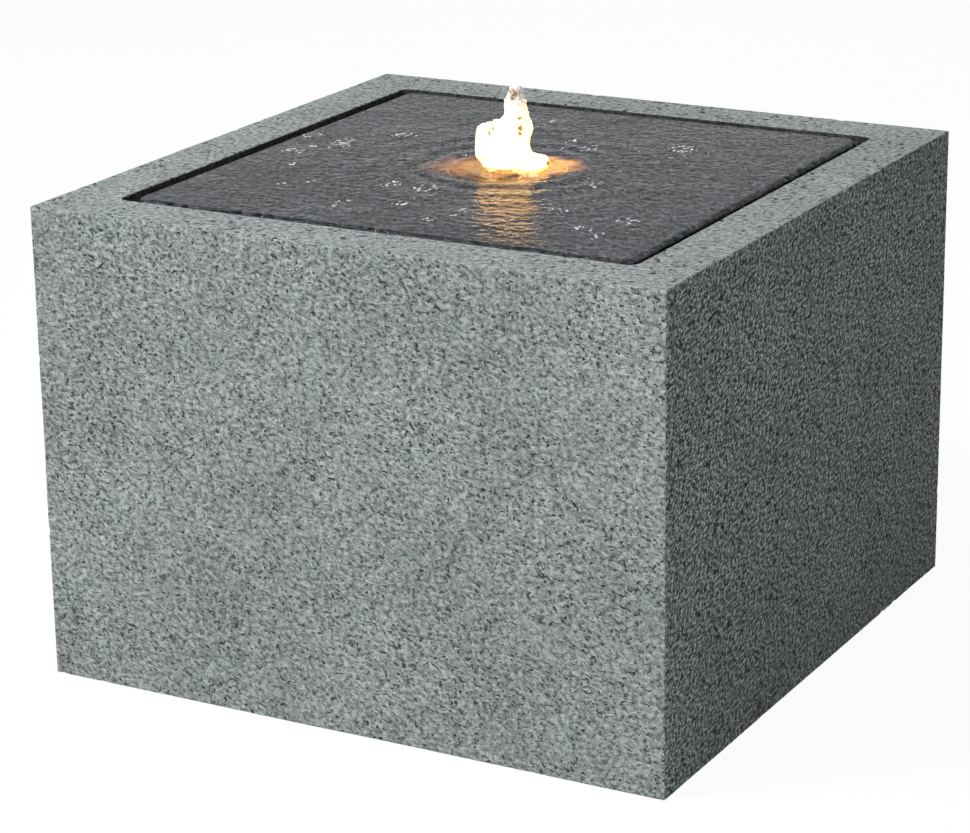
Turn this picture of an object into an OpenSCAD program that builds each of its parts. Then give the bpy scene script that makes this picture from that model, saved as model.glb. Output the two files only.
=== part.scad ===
// Square granite garden fountain: a hollow block is the reservoir, a loose slab covers it,
// and a low-voltage pump lifts water through a lit nozzle in the middle of the slab.
// Millimetres, +Z up, origin at the centre of the block's underside, front towards -Y.

/* [Granite block] */
// Outer width and depth of the square block
block_w = 400; // [380:5:480]
// Outer height of the block
block_h = 285; // [260:1:340]
// Thickness of the four walls
wall_t = 36; // [30:1:42]
// Thickness of the floor under the reservoir
floor_t = 40; // [30:1:55]
// Radius of the upright corners of the opening
cavity_r = 6; // [6:1:18]
// Leg of the three-cornered ledge left in each inner corner
ledge_leg = 62; // [60:1:85]

/* [Cover slab] */
// Thickness of the cover slab
slab_t = 30; // [20:1:40]
// Open gap all round between the slab and the rim
drain_gap = 5; // [5:0.5:10]
// How far the top of the slab lies below the rim
slab_drop = 2; // [0:0.5:6]
// Radius of the slab's top edges
slab_edge_r = 3.5; // [2:0.5:8]
// Radius of the slab's upright corners
slab_corner_r = 9; // [9:0.5:16]
// Diameter of the bore in the middle of the slab
slab_bore_d = 70; // [68:1:90]
// Diameter of a rubber pad
pad_d = 24; // [16:1:26]
// Thickness of a rubber pad
pad_t = 3; // [2:0.5:6]

/* [Water] */
// Depth of the water that runs over the slab
film_t = 1.5; // [0.8:0.1:3]
// Height of the jet above the nozzle
jet_h = 55; // [40:1:120]
// Radius of the foam where the jet leaves the nozzle
jet_base_r = 20; // [18:0.5:30]
// Largest depth of the foam from front to back, as a radius
jet_depth_r = 12; // [6:0.5:30]
// Direction in which the jet leans, seen from above
jet_turn = 29; // [0:1:360]

/* [Nozzle and riser] */
// How far the top of the nozzle lies below the slab's top
nozzle_drop = 4; // [2:0.5:10]
// Outer diameter of the nozzle sleeve
sleeve_d = 22; // [20:0.5:26]
// Length of the nozzle sleeve
sleeve_len = 40; // [38:1:60]
// Depth to which the riser goes into the sleeve
sleeve_socket = 12; // [8:1:16]
// Bore of the sleeve round the jet tube
sleeve_bore_d = 17; // [16.4:0.1:18]
// Bore of the jet tube at its tip
jet_bore_d = 8; // [6:0.5:9]
// Outer diameter of the jet tube's tip
jet_tip_d = 11; // [10.5:0.5:13]
// Outer diameter of the riser pipe
riser_d = 15; // [13:0.5:15.5]
// Wall of the riser pipe
riser_wall = 2; // [1:0.5:2.5]
// Length of the coupling between pump and riser
union_len = 26; // [20:1:40]
// Wall of the coupling
union_wall = 3; // [2.6:0.2:5]
// Number of grip ribs round the coupling
union_ribs = 16; // [8:1:20]

/* [Ring light] */
// Outer diameter of the ring light
led_d = 60; // [58:0.5:62]
// Height of the ring light
led_h = 16; // [13:0.5:20]
// Wall of the ring light's housing
led_wall = 3; // [2.5:0.1:3.5]
// Width of the step that carries the lens
lens_step = 1.4; // [1:0.1:1.8]
// Thickness of the lens
lens_t = 3; // [2:0.1:4]
// Thickness of the circuit board
board_t = 1.2; // [0.8:0.1:2]
// Number of light-emitting diodes
led_count = 8; // [4:1:12]
// Side of one diode
chip_w = 5; // [3:0.1:6]
// Height of one diode
chip_h = 1.6; // [1:0.1:2.5]
// Thickness of the collar that carries the ring light
led_collar_t = 3; // [2:0.5:5]

/* [Pump body] */
// Width of the pump housing
housing_w = 54; // [54:0.5:66]
// Height of the pump housing
housing_h = 50; // [50:0.5:62]
// Radius of the housing's long edges
housing_r = 10; // [9:0.5:11]
// Wall of the pump housing
housing_wall = 2.5; // [2:0.1:2.8]
// Length of the motor part of the housing
motor_len = 46; // [44:1:60]
// Depth of the well in which the rotor turns
well_depth = 33; // [32:1:36]
// Inner diameter of the rotor well
well_d = 16.4; // [16.4:0.1:17]
// Wall of the rotor well
well_wall = 1.5; // [1.2:0.1:1.6]
// Thickness of the motor's end cap
cap_t = 3; // [2:0.5:5]
// Distance from the pump's underside plate to the reservoir floor
cup_h = 7; // [6:0.5:12]
// Diameter of a suction cup
cup_d = 16; // [12:0.5:18]
// Thickness of the base plate
base_t = 3; // [2:0.5:5]

/* [Impeller chamber] */
// Length of the impeller chamber's casting
volute_len = 20; // [20:0.5:24]
// Thickness of its front wall
volute_front_t = 4; // [3:0.5:5]
// Wall round the scroll
volute_wall = 2.5; // [2:0.1:2.6]
// Inner radius of the scroll just after the tongue
scroll_start_r = 16.2; // [15.8:0.1:16.6]
// Inner radius of the scroll at the outlet
scroll_end_r = 20.5; // [19.5:0.1:20.8]
// Bore of the outlet tube
outlet_bore_d = 11; // [9:0.5:11.5]
// Outer diameter of the outlet tube
outlet_d = 15; // [14:0.5:15.5]
// Height of the outlet tube above the pump's axis
outlet_top = 38; // [36:0.5:50]
// Radius of the inlet eye
eye_r = 11; // [9:0.5:12]
// Number of arms that hold the front bush
spider_arms = 3; // [3:1:5]

/* [Impeller and rotor] */
// Diameter of the impeller
impeller_d = 30; // [26:0.5:30.5]
// Number of impeller blades
blade_count = 6; // [4:1:9]
// Thickness of one blade
blade_t = 1.6; // [1:0.1:2.2]
// Height of the blades
blade_h = 10; // [6:0.5:11]
// Sweep of a blade from hub to rim
blade_sweep = 50; // [20:1:70]
// Diameter of the rotor magnet
magnet_d = 15; // [12:0.1:15.4]
// Length of the rotor magnet
magnet_len = 24; // [18:0.5:25]
// Diameter of the fixed shaft
shaft_d = 3; // [2:0.1:4]
// Outer diameter of a shaft bush
bush_d = 8; // [7:0.1:8.6]
// Length of a shaft bush
bush_len = 4; // [3:0.5:5]

/* [Intake] */
// Length of the strainer cage
cage_len = 37; // [35:0.5:48]
// Wall of the strainer cage
cage_wall = 2; // [1.6:0.1:2.2]
// Width of one slot in the cage
slot_w = 2.5; // [1.5:0.1:3]
// Distance from slot to slot
slot_pitch = 5; // [4.5:0.1:7]
// Thickness of the filter foam
foam_t = 8; // [5:0.5:9]
// Diameter of the flow dial
dial_d = 28; // [26:0.5:34]
// Thickness of the flow dial
dial_t = 2.5; // [2:0.1:4]
// Height of the grip on the flow dial
dial_grip_h = 4; // [3:0.5:8]
// Diameter of the pin that the dial turns on
dial_pin_d = 4; // [3:0.5:6]
// Number of windows in the dial
dial_windows = 4; // [3:1:4]

/* [Power inlet] */
// Sideways place of the inlet in the back wall
inlet_x = 40; // [20:1:60]
// Height of the inlet's axis
inlet_z = 80; // [70:1:100]
// Diameter of the hole through the wall
inlet_hole_d = 18; // [17.6:0.1:20]
// Outer diameter of the threaded barrel
inlet_barrel_d = 17; // [16:0.1:17.2]
// Diameter of the inlet's flange
inlet_flange_d = 28; // [24:0.5:34]
// Thickness of the flange
inlet_flange_t = 5; // [3:0.5:5]
// Depth of the recess that takes the flange
inlet_recess = 10; // [9:0.5:14]
// Diameter of the plug opening
plug_d = 13; // [12:0.5:13.5]
// Depth of the plug opening
plug_depth = 16; // [12:0.5:20]
// Width across the flats of the nut
nut_flats = 26; // [24:0.5:32]
// Thickness of the nut
nut_t = 6; // [4:0.5:8]

/* [Leads] */
// Diameter of a lead
lead_d = 4; // [4:0.1:4.4]

/* [Hidden] */
$fn = 64;

// Clearances
fit = 0.1;         // Radial clearance of a push fit
running = 0.05;    // Radial clearance of a shaft in its bore
eps = 0.01;        // Overcut of a cut that ends in the open
overcut = 1;       // Overcut of a cut through an outer face

// Block and slab
cavity_w = block_w - 2 * wall_t;
slab_w = cavity_w - 2 * drain_gap;
slab_top_z = block_h - slab_drop;
slab_z = slab_top_z - slab_t;
ledge_z = slab_z - pad_t;
pad_margin = 0.7;      // From a pad's edge to the edge of its ledge
pad_c = cavity_w / 2 - ledge_leg / 2 + (pad_d / 2 + pad_margin) / sqrt(2);

// Nozzle, ring light and riser
nozzle_z = slab_top_z - nozzle_drop;
riser_bore_d = riser_d - 2 * riser_wall;
riser_top_z = nozzle_z - sleeve_len + sleeve_socket;
led_z = nozzle_z - led_h;
led_bore_r = sleeve_d / 2 + fit;
led_board_r = led_d / 2 - led_wall;
led_board_bore_r = led_bore_r + led_wall;
led_mid_r = (led_board_r + led_board_bore_r) / 2;
led_collar_r = led_bore_r + led_wall;
led_boss_r = 21;       // From the nozzle's axis to the boss that takes the lead
led_boss_d = 9;
led_boss_h = 5;
led_boss_floor = 1;
jet_insert_len = 10;   // Part of the jet tube that sits in the sleeve
jet_tip_len = 10;

// Pump
rail_h = 1;
rail_w = 8;
pump_z = floor_t + cup_h + base_t + rail_h + housing_h / 2;
outlet_x = scroll_end_r - outlet_bore_d / 2;
outlet_back = 0.5;     // From the flange's rear face to the outlet tube
outlet_axis = outlet_d / 2 + outlet_back - volute_len / 2;
volute_half = volute_len / 2;
flange_t = 3;
end_wall_t = 3;
motor_end = -volute_half - motor_len;
well_end = -volute_half - well_depth;
well_outer_d = well_d + 2 * well_wall;
bush_collar_d = bush_d + 4;
bush_end_t = 1;        // Closed end of the front bush
spider_arm_w = 2.5;
screw_inset = 6.5;
// Three corners have a screw, and the outlet tube takes the fourth
SCREW_AT = [
    for (q = [[-1, 1], [-1, -1], [1, -1]])
        [q[0] * (housing_w / 2 - screw_inset), q[1] * (housing_h / 2 - screw_inset), 0]
];
screw_d = 3;
screw_head_d = 5.5;
screw_head_h = 2;
screw_len = 12;
screw_boss_d = 7;
screw_boss_len = screw_len + 2;
drive_w = 1;           // Width of the cross in a screw's head
drive_len = 4;
drive_depth = 1;
seal_section = 1.6;
seal_land = 0.9;       // From the scroll to the groove of the O-ring
seal_r = scroll_end_r + seal_land + seal_section / 2;
boss_len = 7;
boss_d = 10;
boss_hole_depth = 5;
cap_rim_len = 3;
cap_rim_t = 2;
pump_rear_y = outlet_axis - motor_end + cap_t + boss_len;

// Stator
stator_gap = 1.5;      // From the stator to the housing's inner face
stator_r = min(housing_w, housing_h) / 2 - housing_wall - stator_gap;
stator_well_gap = 0.3;
stator_bore_r = well_outer_d / 2 + stator_well_gap;
stator_yoke_t = 0.32 * (stator_r - stator_bore_r);
stator_shoe_t = 0.145 * (stator_r - stator_bore_r);
stator_slot_w = 2;     // Gap between two shoes
stator_len = 18;
stator_inset = 10;     // From the motor's front end to the stator
stator_start = -volute_half - stator_inset - stator_len;
tooth_count = 6;
tooth_w = 4.5;
coil_build = 2.2;
coil_over = 3;         // Part of a coil that stands past each end of the stator
coil_gap = 0.3;
board_r = stator_r - 0.5;
driver_board_t = 1.6;

// Rotor
disc_t = 2;
disc_gap = 1.5;
disc_d = 26;
neck_d = 12;
neck_len = 2;
blade_hub_r = 6;
blade_root = 1;        // Part of a blade that is sunk into the hub
disc_z = -volute_half + disc_gap;

// Riser coupling
outlet_top_z = pump_z + outlet_top;
union_gap = 1;         // From the pump's top to the coupling
union_rib_t = 2;
union_grip_d = 1.6;
union_grip_inset = 2;
union_bore_low_d = outlet_d + 2 * fit;
union_bore_high_d = riser_d + 2 * fit;
union_d = max(outlet_d, riser_d) + 2 * fit + 2 * union_wall;
union_z = max(pump_z + housing_h / 2 + union_gap, outlet_top_z - (union_len - union_rib_t) / 2);
union_top_z = union_z + union_len;
union_rib_z = outlet_top_z;
riser_seal_section = 1.4;
riser_seal_r = riser_d / 2 + fit + riser_seal_section / 2;
riser_seal_rise = 4;
riser_seal_z = union_rib_z + union_rib_t + riser_seal_rise;

// Base plate and feet
base_side = 9;         // Part of the plate that stands out on each side of the pump
base_w = housing_w + 2 * base_side;
base_front = 20;
base_past_motor = 4;
base_back = motor_end - base_past_motor;
cup_side = 5;          // From a cup's axis to the plate's side edge
cup_end = 8;           // From a cup's axis to the plate's front or rear edge
cup_x = base_w / 2 - cup_side;
cup_z = [base_front - cup_end, base_back + cup_end];
cup_lip = 1.2;
cup_dome = 3;
cup_neck = 1;
cup_stem_d = 5;
cup_head_d = 7;
cup_head_h = 1.5;

// Cage
cage_back = -volute_half + flange_t;
cage_front = cage_back + cage_len;
cage_in_w = housing_w - 2 * cage_wall;
cage_in_h = housing_h - 2 * cage_wall;
cage_in_r = housing_r - cage_wall;
slots_across = 5;
slots_up = 5;
slot_front = 2;        // From the cage's front wall to the slots
slot_rear = 16;        // From the slots to the cage's open end
slot_len = cage_len - cage_wall - slot_front - slot_rear;
notch_gap = 1;         // Round the outlet tube
notch_depth = 14;
foam_gap = 0.3;
dial_gap = 0.2;
dial_rim = 2;
dial_pin_end = 0.3;    // From the pin's end to the bottom of its hole
grip_w = 3;
grip_hub_wall = 1.5;
window_in_r = 5;
window_out_r = dial_d / 2 - dial_rim;
window_angle = 180 / dial_windows - 2;

// Inlet
back_y = block_w / 2;
inner_y = block_w / 2 - wall_t;
inlet_seal_t = 1.5;
inlet_seat_y = back_y - inlet_recess;
inlet_flange_y = inlet_seat_y + inlet_seal_t;
inlet_face_y = inlet_flange_y + inlet_flange_t;
inlet_inside = 14;     // Part of the barrel that stands into the reservoir
inlet_end_y = inner_y - inlet_inside;
inlet_recess_gap = 1;  // Round the flange
seal_in = 1;           // From the flange's edge to the seal's
seal_out = 0.5;        // From the hole's edge to the seal's
pin_d = 2;
pin_pitch = 6;
pin_len = 12;
pin_root = 4;
lead_pitch = 8;
lead_hole_depth = 5;

// Foam of the jet, as rings of [share of base radius sideways, share of height, share of base radius]
JET_COLUMN = [
    [0.23, 0.00, 0.85], [0.25, 0.09, 0.92], [0.27, 0.16, 0.98], [0.22, 0.20, 0.91], [0.12, 0.24, 0.64],
    [0.09, 0.32, 0.59], [0.09, 0.44, 0.60], [0.12, 0.52, 0.63], [0.21, 0.57, 0.54], [0.28, 0.64, 0.38],
    [0.28, 0.68, 0.34], [0.27, 0.74, 0.34], [0.25, 0.81, 0.32], [0.28, 0.89, 0.26], [0.29, 0.95, 0.21],
    [0.27, 0.99, 0.13], [0.27, 1.00, 0.05]
];
JET_LOBE = [
    [-0.15, 0.07, 0.35], [-0.28, 0.16, 0.44], [-0.41, 0.21, 0.44], [-0.52, 0.26, 0.42], [-0.53, 0.33, 0.42],
    [-0.53, 0.44, 0.39], [-0.52, 0.52, 0.35], [-0.51, 0.56, 0.28], [-0.45, 0.59, 0.15], [-0.39, 0.63, 0.06]
];
JET_SIDES = 28;

// Clips on the riser
clip_w = 6;
clip_wall = 1.8;
clip_mouth = 0.7;      // Width of the hook's mouth as a share of the lead's diameter
clip_low_z = union_top_z + 0.28 * (led_z - union_top_z);
clip_high_z = union_top_z + 0.58 * (led_z - union_top_z);
lead_off = 12;         // From the riser's axis to the lead's
lead_bend = 16;        // Height in which a lead turns from one run to the next

// Depth behind the pump, as a share of the way from its rear end to the power inlet
function behind(share) = pump_rear_y + share * (inlet_end_y - pump_rear_y);

// Route of the ring light's lead, from the light down the riser to the power inlet
LED_LEAD_ROUTE = [
    [0, led_boss_r, led_z - led_boss_floor],
    [0, led_boss_r, led_z - lead_bend],
    [0, lead_off, led_z - 2 * lead_bend],
    [0, lead_off, clip_high_z + clip_w / 2],
    [0, lead_off, clip_low_z + clip_w / 2],
    [0, lead_off, union_top_z + lead_bend],
    [inlet_x * 0.1, led_boss_r, union_top_z - lead_bend],
    [inlet_x * 0.4, behind(0.07), union_top_z - lead_bend],
    [inlet_x * 0.75, behind(0.48), inlet_z + 1.25 * lead_bend],
    [inlet_x + lead_pitch / 2, behind(0.65), inlet_z],
    [inlet_x + lead_pitch / 2, inlet_end_y + lead_hole_depth, inlet_z]
];
// Route of the pump's lead, from the motor's end cap to the power inlet
PUMP_LEAD_ROUTE = [
    [-outlet_x, pump_rear_y - boss_hole_depth, pump_z],
    [-outlet_x, behind(0.23), pump_z],
    [-outlet_x * 0.67, behind(0.47), pump_z - 0.9 * lead_bend],
    [inlet_x / 2, behind(0.56), pump_z - lead_bend],
    [inlet_x - lead_pitch / 2, behind(0.70), inlet_z],
    [inlet_x - lead_pitch / 2, inlet_end_y + lead_hole_depth, inlet_z]
];
LEAD_SIDES = 8;
LEAD_STEPS = 5;

// A rectangle with round corners, centred, for extrusion
module rounded_rect(w, d, r) {
    square([w - 2 * r, d], center = true);
    square([w, d - 2 * r], center = true);
    for (x = [-1, 1], y = [-1, 1])
        translate([x * (w / 2 - r), y * (d / 2 - r)])
            circle(r);
}

// A flat ring for extrusion
module ring(r_out, r_in) {
    difference() {
        circle(r_out);
        circle(r_in);
    }
}

// An O-ring lying flat, centred on its own plane
module o_ring(r, section) {
    rotate_extrude()
        translate([r, 0])
            circle(d = section, $fn = 32);
}

// Stands the pump's own frame in the block: x to the right, y up, z to the front along the shaft
module on_pump_axis() {
    translate([-outlet_x, outlet_axis, pump_z])
        rotate([90, 0, 0])
            children();
}

// Stands a frame on the inlet's axis, its z pointing out of the back wall
module on_inlet_axis(y) {
    translate([inlet_x, y, inlet_z])
        rotate([-90, 0, 0])
            children();
}

// Points of the scroll, whose radius grows evenly from the tongue round to the outlet
function scroll(wall) = [
    for (i = [0 : 48])
        let (a = i * 360 / 48, r = scroll_start_r + (scroll_end_r - scroll_start_r) * i / 48 + wall)
        [r * cos(a), r * sin(a)]
];

// Path through hand-picked points: straight half runs joined by arcs of a parabola
function smooth_path(p) = concat(
    [p[0]],
    [
        for (i = [1 : len(p) - 2], s = [0 : LEAD_STEPS])
            let (
                t = s / LEAD_STEPS,
                a = (p[i - 1] + p[i]) / 2,
                b = (p[i] + p[i + 1]) / 2
            )
            if (s > 0 || i == 1)
                (1 - t) * (1 - t) * a + 2 * t * (1 - t) * p[i] + t * t * b
    ],
    [p[len(p) - 1]]
);

function unit(v) = v / norm(v);

// Direction of the path at each of its points
function directions(q) = [
    for (i = [0 : len(q) - 1])
        unit(q[min(i + 1, len(q) - 1)] - q[max(i - 1, 0)])
];

// A side vector at each point, carried along the path without twist
function sides(dirs) = [
    for (
        i = 0, v = unit(cross(dirs[0], [0.3, 0.5, 0.81]));
        i < len(dirs);
        i = i + 1, v = i < len(dirs) ? unit(v - dirs[i] * (v * dirs[i])) : v
    )
        v
];

// Triangles of a closed tube of n sides whose rings follow one another along it
function tube_faces(rings, n) = concat(
    [
        for (i = [0 : rings - 2], k = [0 : n - 1], h = [0, 1])
            let (a = i * n + k, b = i * n + (k + 1) % n)
            h == 0 ? [a, a + n, b] : [b, a + n, b + n]
    ],
    [[for (k = [0 : n - 1]) k]],
    [[for (k = [0 : n - 1]) (rings - 1) * n + n - 1 - k]]
);

// A lead swept along its route as one closed tube
module lead(route) {
    q = smooth_path(route);
    dirs = directions(q);
    sd = sides(dirs);
    points = [
        for (i = [0 : len(q) - 1], k = [0 : LEAD_SIDES - 1])
            let (a = k * 360 / LEAD_SIDES)
            q[i] + lead_d / 2 * (cos(a) * sd[i] + sin(a) * cross(dirs[i], sd[i]))
    ];
    polyhedron(points, tube_faces(len(q), LEAD_SIDES));
}

// Outline of the reservoir below the ledges: the square opening less a triangle in each corner
module reservoir_outline() {
    c = cavity_w / 2;
    k = c - ledge_leg;
    polygon([[-k, -c], [k, -c], [c, -k], [c, k], [k, c], [-k, c], [-c, k], [-c, -k]]);
}

module granite_block() {
    color("#8c9293")
    difference() {
        translate([-block_w / 2, -block_w / 2, 0])
            cube([block_w, block_w, block_h]);
        translate([0, 0, ledge_z])
            linear_extrude(block_h - ledge_z + overcut)
                rounded_rect(cavity_w, cavity_w, cavity_r);
        translate([0, 0, floor_t])
            linear_extrude(block_h - floor_t + overcut)
                reservoir_outline();
        on_inlet_axis(inner_y - overcut)
            cylinder(h = wall_t + 2 * overcut, d = inlet_hole_d);
        on_inlet_axis(inlet_seat_y)
            cylinder(h = inlet_recess + overcut, d = inlet_flange_d + 2 * inlet_recess_gap);
    }
}

// Side view of the slab, with its top edges rounded
module slab_profile() {
    r = slab_edge_r;
    translate([-slab_w / 2, 0])
        square([slab_w, slab_t - r]);
    translate([-slab_w / 2 + r, 0])
        square([slab_w - 2 * r, slab_t]);
    for (x = [-1, 1])
        translate([x * (slab_w / 2 - r), slab_t - r])
            circle(r);
}

module cover_slab() {
    color("#5b5f62")
    translate([0, 0, slab_z])
    difference() {
        intersection() {
            linear_extrude(slab_t)
                rounded_rect(slab_w, slab_w, slab_corner_r);
            rotate([90, 0, 0])
                linear_extrude(slab_w + 2 * overcut, center = true)
                    slab_profile();
            rotate([90, 0, 90])
                linear_extrude(slab_w + 2 * overcut, center = true)
                    slab_profile();
        }
        translate([0, 0, -overcut])
            cylinder(h = slab_t + 2 * overcut, d = slab_bore_d);
    }
}

module cover_pads() {
    color("#1d1d1f")
    for (x = [-1, 1], y = [-1, 1])
        translate([x * pad_c, y * pad_c, ledge_z])
            cylinder(h = pad_t, d = pad_d);
}

module water_film() {
    flat_w = slab_w - 2 * slab_edge_r;
    color("#6d7377")
    translate([0, 0, slab_top_z])
        linear_extrude(film_t)
            difference() {
                rounded_rect(flat_w, flat_w, slab_corner_r - slab_edge_r);
                circle(d = slab_bore_d);
            }
}

// One tongue of foam, lofted through its rings
module foam(rings) {
    points = [
        for (q = rings, k = [0 : JET_SIDES - 1])
            let (a = k * 360 / JET_SIDES, r = q[2] * jet_base_r)
            [q[0] * jet_base_r + r * cos(a), min(r, jet_depth_r) * sin(a), q[1] * jet_h]
    ];
    polyhedron(points, tube_faces(len(rings), JET_SIDES));
}

module water_jet() {
    color("#ffd9a0")
    translate([0, 0, nozzle_z])
    rotate([0, 0, jet_turn]) {
        foam(JET_COLUMN);
        foam(JET_LOBE);
    }
}

module nozzle_sleeve() {
    color("#26282b")
    translate([0, 0, nozzle_z])
    difference() {
        union() {
            translate([0, 0, -sleeve_len])
                cylinder(h = sleeve_len, d = sleeve_d);
            translate([0, 0, -led_h - led_collar_t])
                cylinder(h = led_collar_t, r = led_collar_r);
        }
        translate([0, 0, -sleeve_len - overcut])
            cylinder(h = sleeve_len + 2 * overcut, d = riser_d + 2 * fit);
        translate([0, 0, -sleeve_len + sleeve_socket])
            cylinder(h = sleeve_len - sleeve_socket + overcut, d = sleeve_bore_d);
    }
}

module nozzle_jet() {
    color("#3a3d40")
    translate([0, 0, riser_top_z])
    difference() {
        union() {
            cylinder(h = jet_insert_len, d = sleeve_bore_d - 2 * fit);
            cylinder(h = jet_insert_len + jet_tip_len, d = jet_tip_d);
        }
        translate([0, 0, -eps])
            cylinder(h = jet_insert_len + eps, d1 = riser_bore_d, d2 = jet_bore_d);
        translate([0, 0, jet_insert_len - eps])
            cylinder(h = jet_tip_len + overcut, d = jet_bore_d);
    }
}

module led_housing() {
    boss_depth = led_boss_h - led_boss_floor;
    color("#202224")
    translate([0, 0, led_z])
    difference() {
        union() {
            linear_extrude(led_h)
                ring(led_d / 2, led_bore_r);
            translate([0, led_boss_r, -led_boss_h])
                cylinder(h = led_boss_h + led_wall, d = led_boss_d);
        }
        translate([0, 0, led_wall])
            linear_extrude(led_h)
                ring(led_board_r, led_board_bore_r);
        translate([0, 0, led_h - lens_t])
            linear_extrude(led_h)
                ring(led_board_r + lens_step, led_board_bore_r - lens_step);
        translate([0, led_boss_r, -led_boss_h - overcut])
            cylinder(h = boss_depth + overcut, d = lead_d + 2 * fit);
    }
}

module led_board() {
    color("#f2f2ee")
    translate([0, 0, led_z + led_wall])
        linear_extrude(board_t)
            ring(led_board_r - fit, led_board_bore_r + fit);
}

module led_chips() {
    color("#ffd27a")
    for (i = [0 : led_count - 1])
        rotate([0, 0, i * 360 / led_count])
            translate([led_mid_r, 0, led_z + led_wall + board_t + chip_h / 2])
                cube([chip_w, chip_w, chip_h], center = true);
}

module led_lens() {
    color("#dfe6e8")
    translate([0, 0, nozzle_z - lens_t])
        linear_extrude(lens_t)
            ring(led_board_r + lens_step - fit, led_board_bore_r - lens_step + fit);
}

module riser_pipe() {
    low = union_rib_z + union_rib_t;
    color("#2c2f33")
    translate([0, 0, low])
        linear_extrude(riser_top_z - low)
            ring(riser_d / 2, riser_bore_d / 2);
}

module outlet_union() {
    upper_z = union_rib_z + union_rib_t;
    groove_r = riser_seal_r + riser_seal_section / 2 + running;
    color("#303338")
    difference() {
        union() {
            translate([0, 0, union_z])
                cylinder(h = union_len, d = union_d);
            for (i = [0 : union_ribs - 1])
                rotate([0, 0, i * 360 / union_ribs])
                    translate([union_d / 2, 0, union_z + union_grip_inset])
                        cylinder(h = union_len - 2 * union_grip_inset, d = union_grip_d, $fn = 24);
        }
        translate([0, 0, union_z - overcut])
            cylinder(h = outlet_top_z - union_z + overcut, d = union_bore_low_d);
        translate([0, 0, union_z])
            cylinder(h = union_len, d = min(outlet_bore_d, riser_bore_d));
        translate([0, 0, upper_z])
            cylinder(h = union_len, d = union_bore_high_d);
        translate([0, 0, riser_seal_z])
            cylinder(h = riser_seal_section + 2 * fit, r = groove_r, center = true);
    }
}

module riser_seal() {
    color("#101012")
    translate([0, 0, riser_seal_z])
        o_ring(riser_seal_r, riser_seal_section);
}

module led_lead() {
    color("#17181a")
    lead(LED_LEAD_ROUTE);
}

module pump_lead() {
    color("#17181a")
    lead(PUMP_LEAD_ROUTE);
}

module lead_clips() {
    hook_r = lead_d / 2 + fit;
    color("#3b3f44")
    for (z = [clip_low_z, clip_high_z])
        translate([0, 0, z])
        difference() {
            union() {
                cylinder(h = clip_w, r = riser_d / 2 + fit + clip_wall);
                translate([0, lead_off, 0])
                    cylinder(h = clip_w, r = hook_r + clip_wall);
            }
            translate([0, 0, -overcut])
                cylinder(h = clip_w + 2 * overcut, r = riser_d / 2 + fit);
            translate([0, lead_off, -overcut])
                cylinder(h = clip_w + 2 * overcut, r = hook_r);
            translate([-lead_d * clip_mouth / 2, lead_off, -overcut])
                cube([lead_d * clip_mouth, lead_d * 2, clip_w + 2 * overcut]);
        }
}

module pump_base() {
    y = -housing_h / 2 - rail_h - base_t;
    color("#2a2c2f")
    on_pump_axis()
    difference() {
        union() {
            translate([-base_w / 2, y, base_back])
                cube([base_w, base_t, base_front - base_back]);
            for (x = [-1, 1])
                translate([x * rail_w - rail_w / 2, y, motor_end])
                    cube([rail_w, base_t + rail_h, motor_len]);
        }
        for (x = [-1, 1], z = cup_z)
            translate([x * cup_x, y - overcut, z])
                rotate([-90, 0, 0])
                    cylinder(h = base_t + 2 * overcut, d = cup_stem_d + 2 * fit);
    }
}

// One suction cup with the stem that plugs into the base plate, standing on z = 0
module suction_cup() {
    r = cup_d / 2;
    stem = cup_stem_d / 2;
    neck = stem + cup_neck;
    plate_top = cup_h + base_t;
    rotate_extrude()
        polygon([
            [0, cup_dome], [r - 2 * cup_lip, cup_lip], [r - cup_lip, 0], [r, 0], [r, cup_lip],
            [neck, cup_h - cup_neck], [neck, cup_h], [stem, cup_h],
            [stem, plate_top], [cup_head_d / 2, plate_top],
            [stem, plate_top + cup_head_h], [0, plate_top + cup_head_h]
        ]);
}

module suction_feet() {
    color("#141416")
    for (x = [-1, 1], z = cup_z)
        translate([-outlet_x + x * cup_x, outlet_axis - z, floor_t])
            suction_cup();
}

module pump_housing() {
    in_w = housing_w - 2 * housing_wall;
    in_h = housing_h - 2 * housing_wall;
    front = -volute_half;
    color("#25282c")
    on_pump_axis()
    difference() {
        union() {
            difference() {
                translate([0, 0, motor_end])
                    linear_extrude(motor_len)
                        rounded_rect(housing_w, housing_h, housing_r);
                translate([0, 0, motor_end - overcut])
                    linear_extrude(motor_len - end_wall_t + overcut)
                        rounded_rect(in_w, in_h, housing_r - housing_wall);
            }
            translate([0, 0, well_end - end_wall_t])
                cylinder(h = well_depth + end_wall_t - eps, d = well_outer_d);
            for (p = SCREW_AT)
                translate(p + [0, 0, front - screw_boss_len])
                    cylinder(h = screw_boss_len - eps, d = screw_boss_d);
        }
        difference() {
            translate([0, 0, well_end])
                cylinder(h = well_depth + overcut, d = well_d);
            translate([0, 0, well_end])
                difference() {
                    cylinder(h = bush_len, d = well_d + overcut);
                    translate([0, 0, -overcut])
                        cylinder(h = bush_len + 2 * overcut, d = bush_d + 2 * fit);
                }
        }
        for (p = SCREW_AT)
            translate(p + [0, 0, front - screw_len])
                cylinder(h = screw_len + overcut, d = screw_d + fit);
    }
}

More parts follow.
